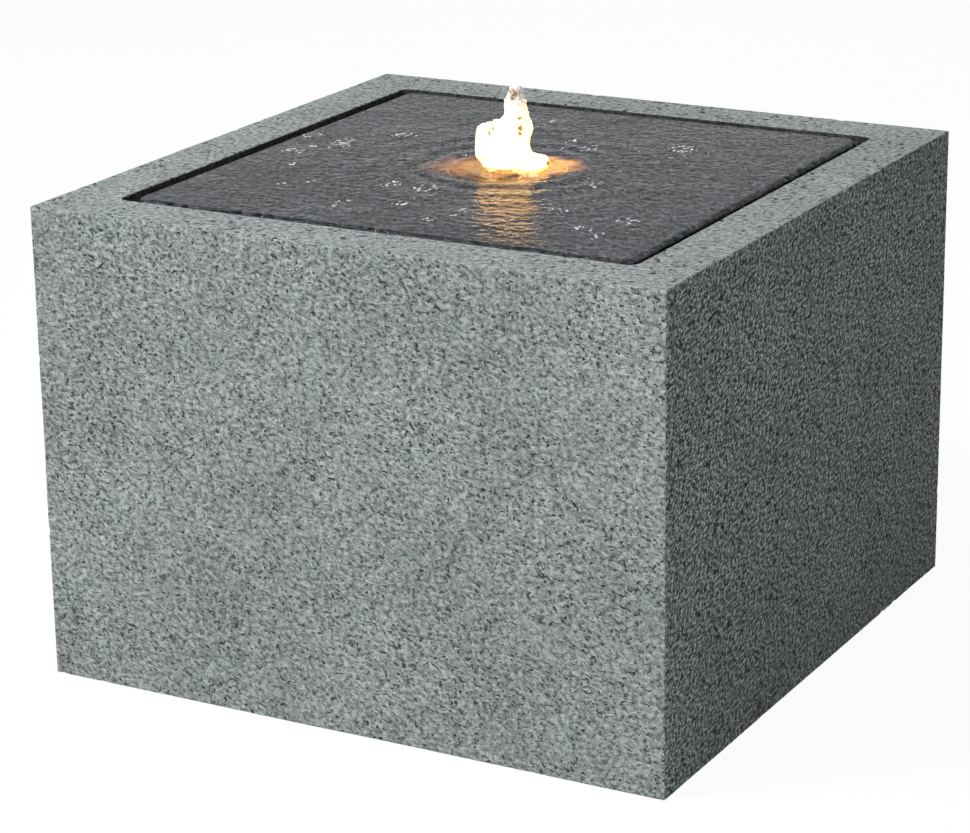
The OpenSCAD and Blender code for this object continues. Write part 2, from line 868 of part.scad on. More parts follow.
module motor_end_cap() {
    in_w = housing_w - 2 * housing_wall - 2 * fit;
    in_h = housing_h - 2 * housing_wall - 2 * fit;
    rim_r = housing_r - housing_wall - fit;
    color("#25282c")
    on_pump_axis()
    translate([0, 0, motor_end])
    difference() {
        union() {
            translate([0, 0, -cap_t])
                linear_extrude(cap_t)
                    rounded_rect(housing_w, housing_h, housing_r);
            linear_extrude(cap_rim_len)
                difference() {
                    rounded_rect(in_w, in_h, rim_r);
                    rounded_rect(in_w - 2 * cap_rim_t, in_h - 2 * cap_rim_t, rim_r - cap_rim_t);
                }
            translate([0, 0, -cap_t - boss_len])
                cylinder(h = boss_len + eps, d = boss_d);
        }
        translate([0, 0, -cap_t - boss_len - overcut])
            cylinder(h = boss_hole_depth + overcut, d = lead_d + 2 * fit);
    }
}

module stator_core() {
    tooth_r = stator_bore_r + stator_shoe_t / 2;
    tooth_len = stator_r - stator_yoke_t / 2 - tooth_r;
    color("#8d9196")
    on_pump_axis()
    translate([0, 0, stator_start])
        linear_extrude(stator_len)
            difference() {
                union() {
                    ring(stator_r, stator_r - stator_yoke_t);
                    ring(stator_bore_r + stator_shoe_t, stator_bore_r);
                    for (i = [0 : tooth_count - 1])
                        rotate(i * 360 / tooth_count)
                            translate([tooth_r, -tooth_w / 2])
                                square([tooth_len, tooth_w]);
                }
                for (i = [0 : tooth_count - 1])
                    rotate((i + 0.5) * 360 / tooth_count)
                        translate([stator_bore_r - overcut, -stator_slot_w / 2])
                            square([stator_shoe_t + 2 * overcut, stator_slot_w]);
            }
}

// Each coil is wound round its tooth, so its outline is drawn across the tooth and drawn out along it
module stator_coils() {
    half_w = tooth_w / 2 + coil_build;
    yoke_in_r = stator_r - stator_yoke_t;
    in_r = stator_bore_r + stator_shoe_t + 2 * coil_gap;
    out_r = sqrt(yoke_in_r * yoke_in_r - half_w * half_w) - coil_gap;
    color("#b5652c")
    on_pump_axis()
    for (i = [0 : tooth_count - 1])
        rotate([0, 0, i * 360 / tooth_count])
        translate([in_r, 0, stator_start + stator_len / 2])
        rotate([90, 0, 90])
        linear_extrude(out_r - in_r)
        difference() {
            rounded_rect(2 * half_w, stator_len + 2 * coil_over, coil_build);
            square([tooth_w + 2 * fit, stator_len + 2 * fit], center = true);
        }
}

module driver_board() {
    color("#1f5a35")
    on_pump_axis()
    translate([0, 0, well_end - end_wall_t - driver_board_t])
        cylinder(h = driver_board_t, r = board_r);
}

module volute() {
    front = volute_half;
    front_in = front - volute_front_t;
    color("#33373c")
    on_pump_axis()
    difference() {
        union() {
            translate([0, 0, -volute_half])
                linear_extrude(flange_t)
                    rounded_rect(housing_w, housing_h, housing_r);
            translate([0, 0, -volute_half])
                linear_extrude(volute_len)
                    polygon(scroll(volute_wall));
            translate([outlet_x, 0, outlet_axis])
                rotate([-90, 0, 0])
                    cylinder(h = outlet_top, d = outlet_d);
        }
        translate([0, 0, -volute_half - overcut])
            linear_extrude(front_in + volute_half + overcut)
                polygon(scroll(0));
        translate([outlet_x, 0, outlet_axis])
            rotate([-90, 0, 0])
                cylinder(h = outlet_top + overcut, d = outlet_bore_d);
        difference() {
            translate([0, 0, front_in - overcut])
                cylinder(h = volute_front_t + 2 * overcut, r = eye_r);
            translate([0, 0, front_in - overcut])
                cylinder(h = volute_front_t + overcut, d = bush_collar_d);
            for (i = [0 : spider_arms - 1])
                rotate([0, 0, 90 + i * 360 / spider_arms])
                    translate([0, -spider_arm_w / 2, front_in])
                        cube([eye_r + overcut, spider_arm_w, volute_front_t]);
        }
        translate([0, 0, front_in])
            cylinder(h = volute_front_t + overcut, d = bush_d + 2 * fit);
        translate([0, 0, -volute_half - overcut])
            linear_extrude(seal_section + overcut)
                ring(seal_r + seal_section / 2 + running, seal_r - seal_section / 2 - running);
        for (p = SCREW_AT)
            translate(p + [0, 0, -volute_half - overcut])
                cylinder(h = flange_t + 2 * overcut, d = screw_d + 2 * fit);
    }
}

module volute_seal() {
    color("#101012")
    on_pump_axis()
    translate([0, 0, -volute_half + seal_section / 2])
        o_ring(seal_r, seal_section);
}

module pump_screws() {
    color("#b9bcc0")
    on_pump_axis()
    for (p = SCREW_AT)
        translate(p + [0, 0, -volute_half])
        difference() {
            union() {
                translate([0, 0, -screw_len + overcut])
                    cylinder(h = screw_len - overcut + flange_t + eps, d = screw_d);
                translate([0, 0, flange_t])
                    cylinder(h = screw_head_h, d = screw_head_d);
            }
            translate([0, 0, flange_t + screw_head_h])
                cube([drive_w, drive_len, 2 * drive_depth], center = true);
            translate([0, 0, flange_t + screw_head_h])
                cube([drive_len, drive_w, 2 * drive_depth], center = true);
        }
}

module rotor_magnet() {
    color("#4a4c50")
    on_pump_axis()
    translate([0, 0, disc_z - neck_len - magnet_len])
        linear_extrude(magnet_len)
            ring(magnet_d / 2, shaft_d / 2 + running);
}

// One impeller blade: a strip that sweeps back as it runs out to the rim
module blade() {
    steps = 8;
    tip_r = impeller_d / 2;
    root_r = blade_hub_r - blade_root;
    function mid(t) = let (r = root_r + (tip_r - root_r) * t, a = -blade_sweep * t)
        [r * cos(a), r * sin(a)];
    function edge(t, side) = let (d = unit(mid(t + 0.01) - mid(t)))
        mid(t) + side * blade_t / 2 * [-d[1], d[0]];
    polygon(concat(
        [for (i = [0 : steps]) edge(i / steps, 1)],
        [for (i = [steps : -1 : 0]) edge(i / steps, -1)]
    ));
}

module impeller() {
    color("#d8dadb")
    on_pump_axis()
    translate([0, 0, disc_z])
    difference() {
        union() {
            translate([0, 0, -neck_len])
                cylinder(h = neck_len + eps, d = neck_d);
            cylinder(h = disc_t, d = disc_d);
            cylinder(h = disc_t + blade_h, r = blade_hub_r);
            translate([0, 0, disc_t - eps])
                linear_extrude(blade_h + eps)
                    for (i = [0 : blade_count - 1])
                        rotate(i * 360 / blade_count)
                            blade();
        }
        translate([0, 0, -neck_len - overcut])
            cylinder(h = neck_len + disc_t + blade_h + 2 * overcut, d = shaft_d + 2 * running);
    }
}

module rotor_shaft() {
    color("#e9e6df")
    on_pump_axis()
    translate([0, 0, well_end])
        cylinder(h = volute_half - bush_end_t - well_end, d = shaft_d);
}

module rear_bush() {
    color("#141416")
    on_pump_axis()
    translate([0, 0, well_end])
        linear_extrude(bush_len)
            ring(bush_d / 2, shaft_d / 2 + running);
}

module front_bush() {
    color("#141416")
    on_pump_axis()
    translate([0, 0, volute_half - volute_front_t])
    difference() {
        cylinder(h = volute_front_t, d = bush_d);
        translate([0, 0, -overcut])
            cylinder(h = volute_front_t - bush_end_t + overcut, d = shaft_d + 2 * running);
    }
}

// Ring of windows shared by the cage's front and the dial
module windows() {
    for (i = [0 : dial_windows - 1])
        rotate(i * 360 / dial_windows)
            intersection() {
                ring(window_out_r, window_in_r);
                polygon([
                    [0, 0],
                    2 * dial_d * [cos(-window_angle / 2), sin(-window_angle / 2)],
                    2 * dial_d * [cos(window_angle / 2), sin(window_angle / 2)]
                ]);
            }
}

module strainer_cage() {
    notch_r = outlet_d / 2 + notch_gap;
    notch_y = housing_h / 2 - notch_depth;
    slot_start = cage_back + slot_rear;
    color("#1f2225")
    on_pump_axis()
    difference() {
        union() {
            difference() {
                translate([0, 0, cage_back])
                    linear_extrude(cage_len)
                        rounded_rect(housing_w, housing_h, housing_r);
                translate([0, 0, cage_back - overcut])
                    linear_extrude(cage_len - cage_wall + overcut)
                        rounded_rect(cage_in_w, cage_in_h, cage_in_r);
            }
            translate([0, 0, cage_front - eps])
                cylinder(h = dial_gap + dial_t + eps, d = dial_pin_d);
        }
        for (i = [-(slots_up - 1) / 2 : (slots_up - 1) / 2])
            translate([-housing_w, i * slot_pitch - slot_w / 2, slot_start])
                cube([2 * housing_w, slot_w, slot_len]);
        for (i = [-(slots_across - 1) / 2 : (slots_across - 1) / 2])
            translate([i * slot_pitch - slot_w / 2, -housing_h, slot_start])
                cube([slot_w, 2 * housing_h, slot_len]);
        translate([0, 0, cage_front - cage_wall - overcut])
            linear_extrude(cage_wall + 2 * overcut)
                windows();
        translate([outlet_x, notch_y, outlet_axis])
            rotate([-90, 0, 0])
                cylinder(h = notch_depth + overcut, r = notch_r);
        translate([outlet_x - notch_r, notch_y, cage_back - overcut])
            cube([2 * notch_r, notch_depth + overcut, outlet_axis - cage_back + overcut]);
    }
}

module filter_foam() {
    color("#2f4c66")
    on_pump_axis()
    translate([0, 0, cage_front - cage_wall - foam_t])
        linear_extrude(foam_t)
            rounded_rect(cage_in_w - 2 * foam_gap, cage_in_h - 2 * foam_gap, cage_in_r - foam_gap);
}

module flow_dial() {
    grip_len = dial_d - 2 * dial_rim;
    color("#3f6f9c")
    on_pump_axis()
    translate([0, 0, cage_front + dial_gap])
    difference() {
        union() {
            linear_extrude(dial_t)
                difference() {
                    circle(d = dial_d);
                    windows();
                }
            translate([-grip_w / 2, -grip_len / 2, dial_t - eps])
                cube([grip_w, grip_len, dial_grip_h]);
            cylinder(h = dial_t + dial_grip_h, r = dial_pin_d / 2 + grip_hub_wall);
        }
        translate([0, 0, -overcut])
            cylinder(h = overcut + dial_t + dial_pin_end, d = dial_pin_d + 2 * running);
    }
}

module inlet_socket() {
    color("#1b1d20")
    difference() {
        union() {
            on_inlet_axis(inlet_flange_y)
                cylinder(h = inlet_flange_t, d = inlet_flange_d);
            on_inlet_axis(inlet_end_y)
                cylinder(h = inlet_flange_y - inlet_end_y + eps, d = inlet_barrel_d);
        }
        on_inlet_axis(inlet_face_y - plug_depth)
            cylinder(h = plug_depth + overcut, d = plug_d);
        for (x = [-1, 1]) {
            translate([x * pin_pitch / 2, 0, 0])
                on_inlet_axis(inlet_face_y - plug_depth - pin_root)
                    cylinder(h = pin_root + overcut, d = pin_d + 2 * running);
            translate([x * lead_pitch / 2, 0, 0])
                on_inlet_axis(inlet_end_y - overcut)
                    cylinder(h = lead_hole_depth + overcut, d = lead_d + 2 * fit);
        }
    }
}

module inlet_pins() {
    color("#c9a24a")
    for (x = [-1, 1])
        translate([x * pin_pitch / 2, 0, 0])
            on_inlet_axis(inlet_face_y - plug_depth - pin_root)
                cylinder(h = pin_root + pin_len, d = pin_d);
}

module inlet_seal() {
    color("#101012")
    on_inlet_axis(inlet_seat_y)
        linear_extrude(inlet_seal_t)
            ring(inlet_flange_d / 2 - seal_in, inlet_hole_d / 2 + seal_out);
}

module inlet_nut() {
    color("#2b2e31")
    on_inlet_axis(inner_y - nut_t)
        difference() {
            cylinder(h = nut_t, d = nut_flats / cos(30), $fn = 6);
            translate([0, 0, -overcut])
                cylinder(h = nut_t + 2 * overcut, d = inlet_barrel_d + 2 * running);
        }
}

granite_block();
cover_slab();
cover_pads();
water_film();
water_jet();
nozzle_sleeve();
nozzle_jet();
led_housing();
led_board();
led_chips();
led_lens();
riser_pipe();
outlet_union();
riser_seal();
led_lead();
pump_lead();
lead_clips();
pump_base();
suction_feet();
pump_housing();
motor_end_cap();
stator_core();
stator_coils();
driver_board();
volute();
volute_seal();
pump_screws();
rotor_magnet();
impeller();
rotor_shaft();
rear_bush();
front_bush();
strainer_cage();
filter_foam();
flow_dial();
inlet_socket();
inlet_pins();
inlet_seal();
inlet_nut();
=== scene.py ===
"""Square granite garden fountain with a lit foam jet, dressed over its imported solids."""

import logging
import math
from dataclasses import dataclass
from enum import Enum
from typing import Optional, Sequence, Union

import bmesh
import bpy
import numpy as np
from mathutils import Matrix, Vector, noise


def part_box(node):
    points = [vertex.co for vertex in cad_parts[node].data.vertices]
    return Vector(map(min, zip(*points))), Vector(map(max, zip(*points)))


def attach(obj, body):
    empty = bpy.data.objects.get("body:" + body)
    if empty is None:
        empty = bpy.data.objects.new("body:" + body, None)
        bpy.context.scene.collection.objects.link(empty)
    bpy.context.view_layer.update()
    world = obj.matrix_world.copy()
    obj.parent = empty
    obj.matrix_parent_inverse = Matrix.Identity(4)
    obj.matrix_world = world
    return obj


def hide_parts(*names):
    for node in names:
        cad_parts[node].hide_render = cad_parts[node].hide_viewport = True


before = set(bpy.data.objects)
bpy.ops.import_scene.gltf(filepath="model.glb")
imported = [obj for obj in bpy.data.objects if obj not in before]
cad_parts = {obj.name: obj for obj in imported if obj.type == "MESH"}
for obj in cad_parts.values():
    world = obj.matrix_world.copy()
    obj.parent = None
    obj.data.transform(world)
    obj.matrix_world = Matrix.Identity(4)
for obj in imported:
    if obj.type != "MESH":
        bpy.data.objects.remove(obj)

LOG = logging.getLogger("fountain")
Colour = tuple[float, float, float]
Socket = bpy.types.NodeSocket
Value = Union[Socket, float, Sequence[float]]
Points = np.ndarray
Faces = list[list[int]]

MM = 0.001
UP = (0.0, 0.0, 1.0)
FULL_TURN = 2.0 * math.pi
JET_TURN = 28.925  # degrees between the block's front and the jet's broad side


class Blend(Enum):
    """Ways in which two colours are laid over each other."""

    MIX = "MIX"
    MULTIPLY = "MULTIPLY"
    OVERLAY = "OVERLAY"


class Wetness(Enum):
    """State of the granite."""

    DRY = "dry"
    WET = "wet"


def grey(level: float) -> Colour:
    """Returns a plain grey."""
    return (level, level, level)


def scaled(colour: Colour, share: float) -> Colour:
    """Returns a colour made darker or lighter."""
    return tuple(c * share for c in colour)


class Graph:
    """A node tree that is filled step by step."""

    place: Optional[Socket] = None

    def __init__(self, tree: bpy.types.NodeTree) -> None:
        """Empties the tree.

        Args:
            tree: the tree to fill
        """
        self.tree = tree
        tree.nodes.clear()

    def add(self, kind: str, **settings: object) -> bpy.types.Node:
        """Adds one node.

        Args:
            kind: the node's type
            settings: attributes to set on it

        Returns:
            the new node
        """
        node = self.tree.nodes.new(kind)
        for key, value in settings.items():
            setattr(node, key, value)
        return node

    def feed(self, socket: Socket, value: Value) -> None:
        """Links a socket to another, or sets a constant on it.

        Args:
            socket: the input to feed
            value: a socket or a constant
        """
        if isinstance(value, bpy.types.NodeSocket):
            self.tree.links.new(value, socket)
        else:
            socket.default_value = value

    def join(self, node: bpy.types.Node, *values: Value, **named: Value) -> bpy.types.Node:
        """Feeds a node's inputs, the first ones in their order and others by name.

        Args:
            node: the node
            values: what its first inputs get
            named: what other inputs get, by name with underscores for blanks

        Returns:
            the same node
        """
        for socket, value in zip(node.inputs, values):
            self.feed(socket, value)
        for name, value in named.items():
            self.feed(node.inputs[name.replace("_", " ")], value)
        return node

    def math(self, operation: str, *values: Value) -> Socket:
        """Adds one sum of numbers and returns its result."""
        return self.join(self.add("ShaderNodeMath", operation=operation), *values).outputs[0]

    def times(self, first: Value, second: Value) -> Socket:
        """Returns the product of two numbers."""
        return self.math("MULTIPLY", first, second)

    def plus(self, first: Value, second: Value) -> Socket:
        """Returns the sum of two numbers."""
        return self.math("ADD", first, second)

    def minus(self, first: Value, second: Value) -> Socket:
        """Returns the first number less the second."""
        return self.math("SUBTRACT", first, second)

    def vector(self, operation: str, *values: Value, **named: Value) -> Socket:
        """Adds one sum of vectors and returns its vector."""
        node = self.add("ShaderNodeVectorMath", operation=operation)
        return self.join(node, *values, **named).outputs[0]

    def measure(self, operation: str, *values: Value) -> Socket:
        """Adds one sum of vectors and returns its number."""
        node = self.add("ShaderNodeVectorMath", operation=operation)
        return self.join(node, *values).outputs["Value"]

    def combine(self, x: Value = 0.0, y: Value = 0.0, z: Value = 0.0) -> Socket:
        """Returns a vector of three numbers."""
        return self.join(self.add("ShaderNodeCombineXYZ"), x, y, z).outputs[0]

    def spread(self, value: Value, low: float, high: float, to_low: float = 0.0,
               to_high: float = 1.0) -> Socket:
        """Maps a range of numbers smoothly to another one.

        Args:
            value: the number
            low: start of its range
            high: end of its range
            to_low: what the start becomes
            to_high: what the end becomes

        Returns:
            the mapped number
        """
        node = self.add("ShaderNodeMapRange", interpolation_type="SMOOTHSTEP")
        return self.join(node, value, low, high, to_low, to_high).outputs["Result"]

    def noise(self, scale: Value, detail: float = 2.0, roughness: float = 0.5,
              place: Optional[Socket] = None, bend: float = 0.0) -> Socket:
        """Adds a cloudy pattern.

        Args:
            scale: how many features there are to a metre
            detail: number of finer layers
            roughness: strength of the finer layers
            place: where it is read, if not at the piece's own coordinates
            bend: how far it is distorted

        Returns:
            the pattern's value, about one half
        """
        node = self.add("ShaderNodeTexNoise")
        self.join(node, place or self.place, Scale=scale, Detail=detail, Roughness=roughness,
                  Distortion=bend)
        return node.outputs[0]

    def cells(self, scale: float) -> Socket:
        """Adds a pattern of irregular cells.

        Args:
            scale: how many cells there are to a metre

        Returns:
            the distance to a cell's middle
        """
        node = self.join(self.add("ShaderNodeTexVoronoi"), self.place, Scale=scale)
        return node.outputs["Distance"]

    def seen_directly(self) -> Socket:
        """Returns one for rays from the camera, off gloss and through glass, and else nought."""
        rays = self.add("ShaderNodeLightPath").outputs
        through = self.math("MAXIMUM", rays["Is Glossy Ray"], rays["Is Transmission Ray"])
        return self.math("MAXIMUM", rays["Is Camera Ray"], through)


class Finish(Graph):
    """A material that is painted step by step from the piece's own coordinates."""

    def __init__(self, name: str) -> None:
        """Starts an empty material.

        Args:
            name: the material's name
        """
        self.material = bpy.data.materials.new(name)
        self.material.use_nodes = True
        super().__init__(self.material.node_tree)
        self.output = self.add("ShaderNodeOutputMaterial")
        self.place = self.add("ShaderNodeTexCoord").outputs["Object"]
        self.shader = self.add("ShaderNodeBsdfPrincipled")
        self.feed(self.output.inputs["Surface"], self.shader.outputs[0])

    def stored(self, name: str) -> Socket:
        """Returns a number that is stored on the piece's points."""
        return self.add("ShaderNodeAttribute", attribute_name=name).outputs["Fac"]

    def ramp(self, value: Value, *stops: tuple[float, Colour]) -> Socket:
        """Turns a number into a colour.

        Args:
            value: the number
            stops: places along the ramp and their colours

        Returns:
            the colour
        """
        node = self.add("ShaderNodeValToRGB")
        ramp = node.color_ramp
        while len(ramp.elements) < len(stops):
            ramp.elements.new(0.5)
        for element, (place, colour) in zip(ramp.elements, stops):
            element.position = place
            element.color = (*colour, 1.0)
        return self.join(node, value).outputs[0]

    def mix(self, share: Value, under: Value, over: Value, blend: Blend = Blend.MIX) -> Socket:
        """Lays one colour over another.

        Args:
            share: strength of the upper colour
            under: the lower colour
            over: the upper colour
            blend: how it is laid over

        Returns:
            the mixed colour
        """
        node = self.add("ShaderNodeMix", data_type="RGBA", blend_type=blend.value)
        self.feed(node.inputs[0], share)
        for socket, colour in ((node.inputs[6], under), (node.inputs[7], over)):
            self.feed(socket, (*colour, 1.0) if isinstance(colour, tuple) else colour)
        return node.outputs[2]

    def bump(self, height: Value, depth: float, strength: float = 1.0) -> Socket:
        """Turns a height into dents and rises.

        Args:
            height: the height, from nought to one
            depth: how deep that is, in metres
            strength: how strongly it shows

        Returns:
            the surface's direction
        """
        node = self.add("ShaderNodeBump")
        return self.join(node, Strength=strength, Distance=depth, Height=height).outputs[0]

    def surface(self, **values: Value) -> bpy.types.Material:
        """Sets the shader's inputs.

        Args:
            values: inputs by name, with underscores for blanks

        Returns:
            the finished material
        """
        for key, value in values.items():
            socket = self.shader.inputs[key.replace("_", " ").title().replace("Ior", "IOR")]
            if socket.type == "RGBA" and isinstance(value, tuple):
                value = (*value, 1.0)
            self.feed(socket, value)
        return self.material

    def blend_in(self, share: Value, other: bpy.types.Node) -> bpy.types.Material:
        """Mixes another shader into the surface.

        Args:
            share: strength of the other shader
            other: that shader

        Returns:
            the finished material
        """
        both = self.add("ShaderNodeMixShader")
        self.join(both, share, self.shader.outputs[0], other.outputs[0])
        self.feed(self.output.inputs["Surface"], both.outputs[0])
        return self.material


@dataclass(frozen=True)
class Granite:
    """Granite of fine grains with a rough sawn face, dry or darkened by water."""

    name: str
    state: Wetness
    body: Colour
    dark: Colour
    contrast: float
    roughness: float
    relief: float
    grain: float
    stretch: float = 0.60
    specks: float = 0.9
    speck_grain: float = 1.25
    speck_edge: tuple[float, float] = (0.315, 0.385)
    grit: float = 2.4
    patch_grain: float = 38.0
    patchiness: float = 0.022
    saw: Colour = (0.692, -0.692, -0.2075)
    # height below which a side gets painted shade for the gap, nought for none
    shaded_below: float = 0.0

    def shade(self, share: float) -> Colour:
        """Returns the body colour, made darker or lighter by a share of the contrast."""
        return scaled(self.body, max(0.05, 1.0 + self.contrast * share))

    def gap_shade(self, f: Finish) -> Socket:
        """Returns painted shade for a side below the edge that hangs over the narrow gap."""
        height, edge = f.measure("DOT_PRODUCT", f.place, UP), self.shaded_below
        upper = f.spread(height, edge - 0.0011, edge, 0.06, 1.0)
        lower = f.spread(height, edge - 0.0100, edge - 0.0040, 0.75, 0.06)
        return f.math("MAXIMUM", upper, lower)

    def paint(self) -> bpy.types.Material:
        """Builds the material.

        Returns:
            the material
        """
        f = Finish(self.name)
        along = f.measure("DOT_PRODUCT", f.place, self.saw)
        part = f.vector("SCALE", self.saw, Scale=f.times(along, self.stretch))
        drawn = f.vector("SUBTRACT", f.place, part)

        strokes = f.noise(self.grain, 4.0, 0.62, drawn, 0.35)
        grit = f.noise(self.grain * self.grit, 2.0, 0.6)
        cloud = f.noise(self.patch_grain, 3.0, 0.6)
        patches = f.spread(cloud, 0.40, 0.62, -self.patchiness, self.patchiness)
        shifted = f.vector("ADD", drawn, (0.7, 2.3, 1.1))
        flecks = f.noise(self.grain * self.speck_grain, 1.5, 0.5, shifted, 0.12)
        specks = f.spread(f.minus(flecks, patches), *self.speck_edge, 1.0, 0.0)

        tone = f.ramp(strokes, *((stop, self.shade(share)) for stop, share in (
            (0.34, -1.15), (0.43, -0.40), (0.52, 0.10), (0.64, 1.0),
        )))
        gritty = f.ramp(grit, (0.36, grey(0.30)), (0.64, grey(0.70)))
        tone = f.mix(0.45, tone, gritty, Blend.OVERLAY)
        tone = f.mix(f.times(specks, self.specks), tone, self.dark)
        tint = f.noise(30.0, 3.0, 0.6, f.vector("ADD", f.place, (3.1, 1.7, 0.4)))
        hue = f.ramp(tint, (0.34, (1.035, 0.98, 1.005)), (0.5, grey(1.0)),
                     (0.66, (0.955, 1.01, 0.99)))
        wide = f.ramp(f.noise(17.0, 3.0, 0.55), (0.3, grey(0.90)), (0.7, grey(1.08)))
        # painted shade: with shaded_below set, the side is darkened below that height, where the
        # gap's shade falls
        veils = [hue, wide] + ([self.gap_shade(f)] if self.shaded_below else [])
        for veil in veils:
            tone = f.mix(1.0, tone, veil, Blend.MULTIPLY)

        rise = f.minus(f.plus(strokes, f.times(grit, 0.25)), f.times(specks, 0.35))
        return f.surface(
            base_color=tone, normal=f.bump(rise, self.relief),
            roughness=f.spread(strokes, 0.3, 0.7, self.roughness - 0.05, self.roughness + 0.08),
            specular_ior_level=0.0 if self.state is Wetness.WET else 0.3,
        )


@dataclass(frozen=True)
class RunningWater:
    """Clear water with a painted glow near the jet: emission that stands in for the ring's light.

    Pairs of sizes are for the left and the right of the jet.
    """

    name: str
    tint: Colour
    bend: float
    inner: tuple[float, float] = (0.019, 0.034)
    reach: tuple[float, float] = (0.062, 0.055)
    light: tuple[float, float] = (0.56, 0.92)
    turn: float = JET_TURN
    narrow: float = 0.62
    behind: float = 0.005
    lit_above: float = 0.2832
    ragged: float = 0.028
    drawn_out: float = 0.42
    ripple: float = 0.00060

    def paint(self) -> bpy.types.Material:
        """Builds the material.

        Returns:
            the material
        """
        f = Finish(self.name)
        # painted glow: orange emission in a ragged oval round the jet, fading outwards, stands in
        # for the ring's light in the water
        a = math.radians(self.turn)
        across, away = (math.cos(a), math.sin(a), 0.0), (-math.sin(a), math.cos(a), 0.0)
        wide = f.measure("DOT_PRODUCT", f.place, across)
        deep = f.measure("DOT_PRODUCT", f.place, tuple(c / self.narrow for c in away))
        deep = f.minus(deep, self.behind / self.narrow)
        flat = f.math("SQRT", f.plus(f.math("POWER", wide, 2.0), f.math("POWER", deep, 2.0)))
        stir = f.minus(f.noise(95.0, 3.0, 0.6), 0.5)
        radius = f.plus(flat, f.times(stir, self.ragged))
        reach = f.spread(wide, -0.020, 0.020, *self.reach)
        inner = f.spread(wide, -0.020, 0.020, *self.inner)
        power = f.spread(wide, -0.020, 0.030, *self.light)
        share = f.math("DIVIDE", f.minus(radius, inner), f.minus(reach, inner))
        lit = f.times(f.spread(share, 0.0, 1.0, 1.0, 0.0), power)
        lit = f.times(lit, f.spread(f.noise(240.0, 3.0, 0.6), 0.30, 0.62, 0.70, 1.1))
        level = f.measure("DOT_PRODUCT", f.place, UP)
        lit = f.times(lit, f.spread(level, self.lit_above - 0.0012, self.lit_above, 0.0, 1.0))
        colour = f.ramp(share, (0.0, (1.0, 0.52, 0.12)), (0.35, (0.90, 0.34, 0.07)),
                        (0.7, (0.42, 0.14, 0.07)), (1.0, (0.20, 0.10, 0.12)))
        calm = f.spread(f.noise(22.0, 2.0, 0.5), 0.44, 0.60, 0.15, 1.0)
        drawn = f.combine(wide, f.times(deep, self.narrow * self.drawn_out))
        fine = f.times(f.noise(420.0, 2.0, 0.6, drawn), calm)
        grains = f.noise(400.0, 3.0, 0.65, drawn, 0.2)
        seen = f.ramp(grains, (0.37, (0.10, 0.11, 0.12)), (0.48, (0.50, 0.51, 0.53)),
                      (0.62, grey(1.0)))
        f.surface(
            base_color=f.mix(1.0, seen, self.tint, Blend.MULTIPLY), roughness=0.03,
            normal=f.bump(fine, self.ripple), ior=self.bend, transmission_weight=1.0,
            emission_color=colour, emission_strength=lit,
        )
        shadow = f.add("ShaderNodeLightPath").outputs["Is Shadow Ray"]
        return f.blend_in(shadow, f.add("ShaderNodeBsdfTransparent"))


@dataclass(frozen=True)
class LitFoam:
    """Foamy water with a painted glow for the ring's light inside it, brightest where the foam is
    dense.
    """

    name: str
    hot: Colour
    warm: Colour
    strength: float

    def paint(self) -> bpy.types.Material:
        """Builds the material.

        Returns:
            the material
        """
        f = Finish(self.name)
        dense, lit_share = f.stored("dense"), f.stored("lit_share")
        share = f.times(dense, f.spread(f.noise(260.0, 4.0, 0.65), 0.25, 0.45, 0.6, 1.0))
        colour = f.ramp(share, (0.0, (0.66, 0.30, 0.07)), (0.4, self.warm), (0.85, self.hot))
        colour = f.mix(f.spread(lit_share, 0.0, 0.7, 0.75, 0.0), colour, (1.0, 0.88, 0.70))
        # painted glow: emission stands in for the ring's light scattered in the foam, fading with
        # lit_share towards the top
        power = f.spread(share, 0.0, 0.9, 0.45, self.strength)
        body = f.ramp(share, (0.0, (0.34, 0.18, 0.07)), (0.75, (0.66, 0.62, 0.57)),
                      (1.0, (0.90, 0.87, 0.83)))
        return f.surface(
            base_color=body, roughness=0.25, normal=f.bump(f.cells(520.0), 0.0006, 0.7),
            emission_color=colour,
            emission_strength=f.times(power, f.spread(lit_share, 0.0, 1.0, 0.03, 1.0)),
        )


@dataclass(frozen=True)
class GlintBubbles:
    """Small white bubbles on the water that stand in for glints: painted highlights where ripples
    would catch the lamps.
    """

    name: str
    colour: Colour

    def paint(self) -> bpy.types.Material:
        """Builds the material.

        Returns:
            the material
        """
        f = Finish(self.name)
        skin = f.noise(900.0, 2.0, 0.5)
        return f.surface(
            base_color=f.ramp(skin, (0.35, scaled(self.colour, 0.6)), (0.6, self.colour)),
            roughness=f.spread(skin, 0.3, 0.7, 0.08, 0.2), normal=f.bump(skin, 0.0001, 0.6),
            coat_weight=0.6, coat_roughness=0.05,
        )


@dataclass(frozen=True)
class Moulded:
    """Moulded plastic or rubber with a fine skin and faint flow marks."""

    name: str
    colour: Colour
    roughness: float = 0.42
    skin: float = 0.00004
    grain: float = 1400.0
    sheen: float = 0.0

    def paint(self) -> bpy.types.Material:
        """Builds the material.

        Returns:
            the material
        """
        f = Finish(self.name)
        flow = f.noise(38.0, 3.0, 0.55, bend=0.6)
        dust = f.noise(210.0, 4.0, 0.6)
        pale = tuple(min(1.0, c * 1.45 + 0.012) for c in self.colour)
        tone = f.ramp(flow, (0.25, scaled(self.colour, 0.72)), (0.5, self.colour), (0.78, pale))
        rise = f.plus(f.cells(self.grain), f.times(flow, 0.5))
        return f.surface(
            base_color=f.mix(f.spread(dust, 0.58, 0.75, 0.0, 0.25), tone, pale),
            roughness=f.spread(dust, 0.3, 0.7, self.roughness - 0.08, self.roughness + 0.12),
            normal=f.bump(rise, self.skin, 0.8), sheen_weight=self.sheen,
        )


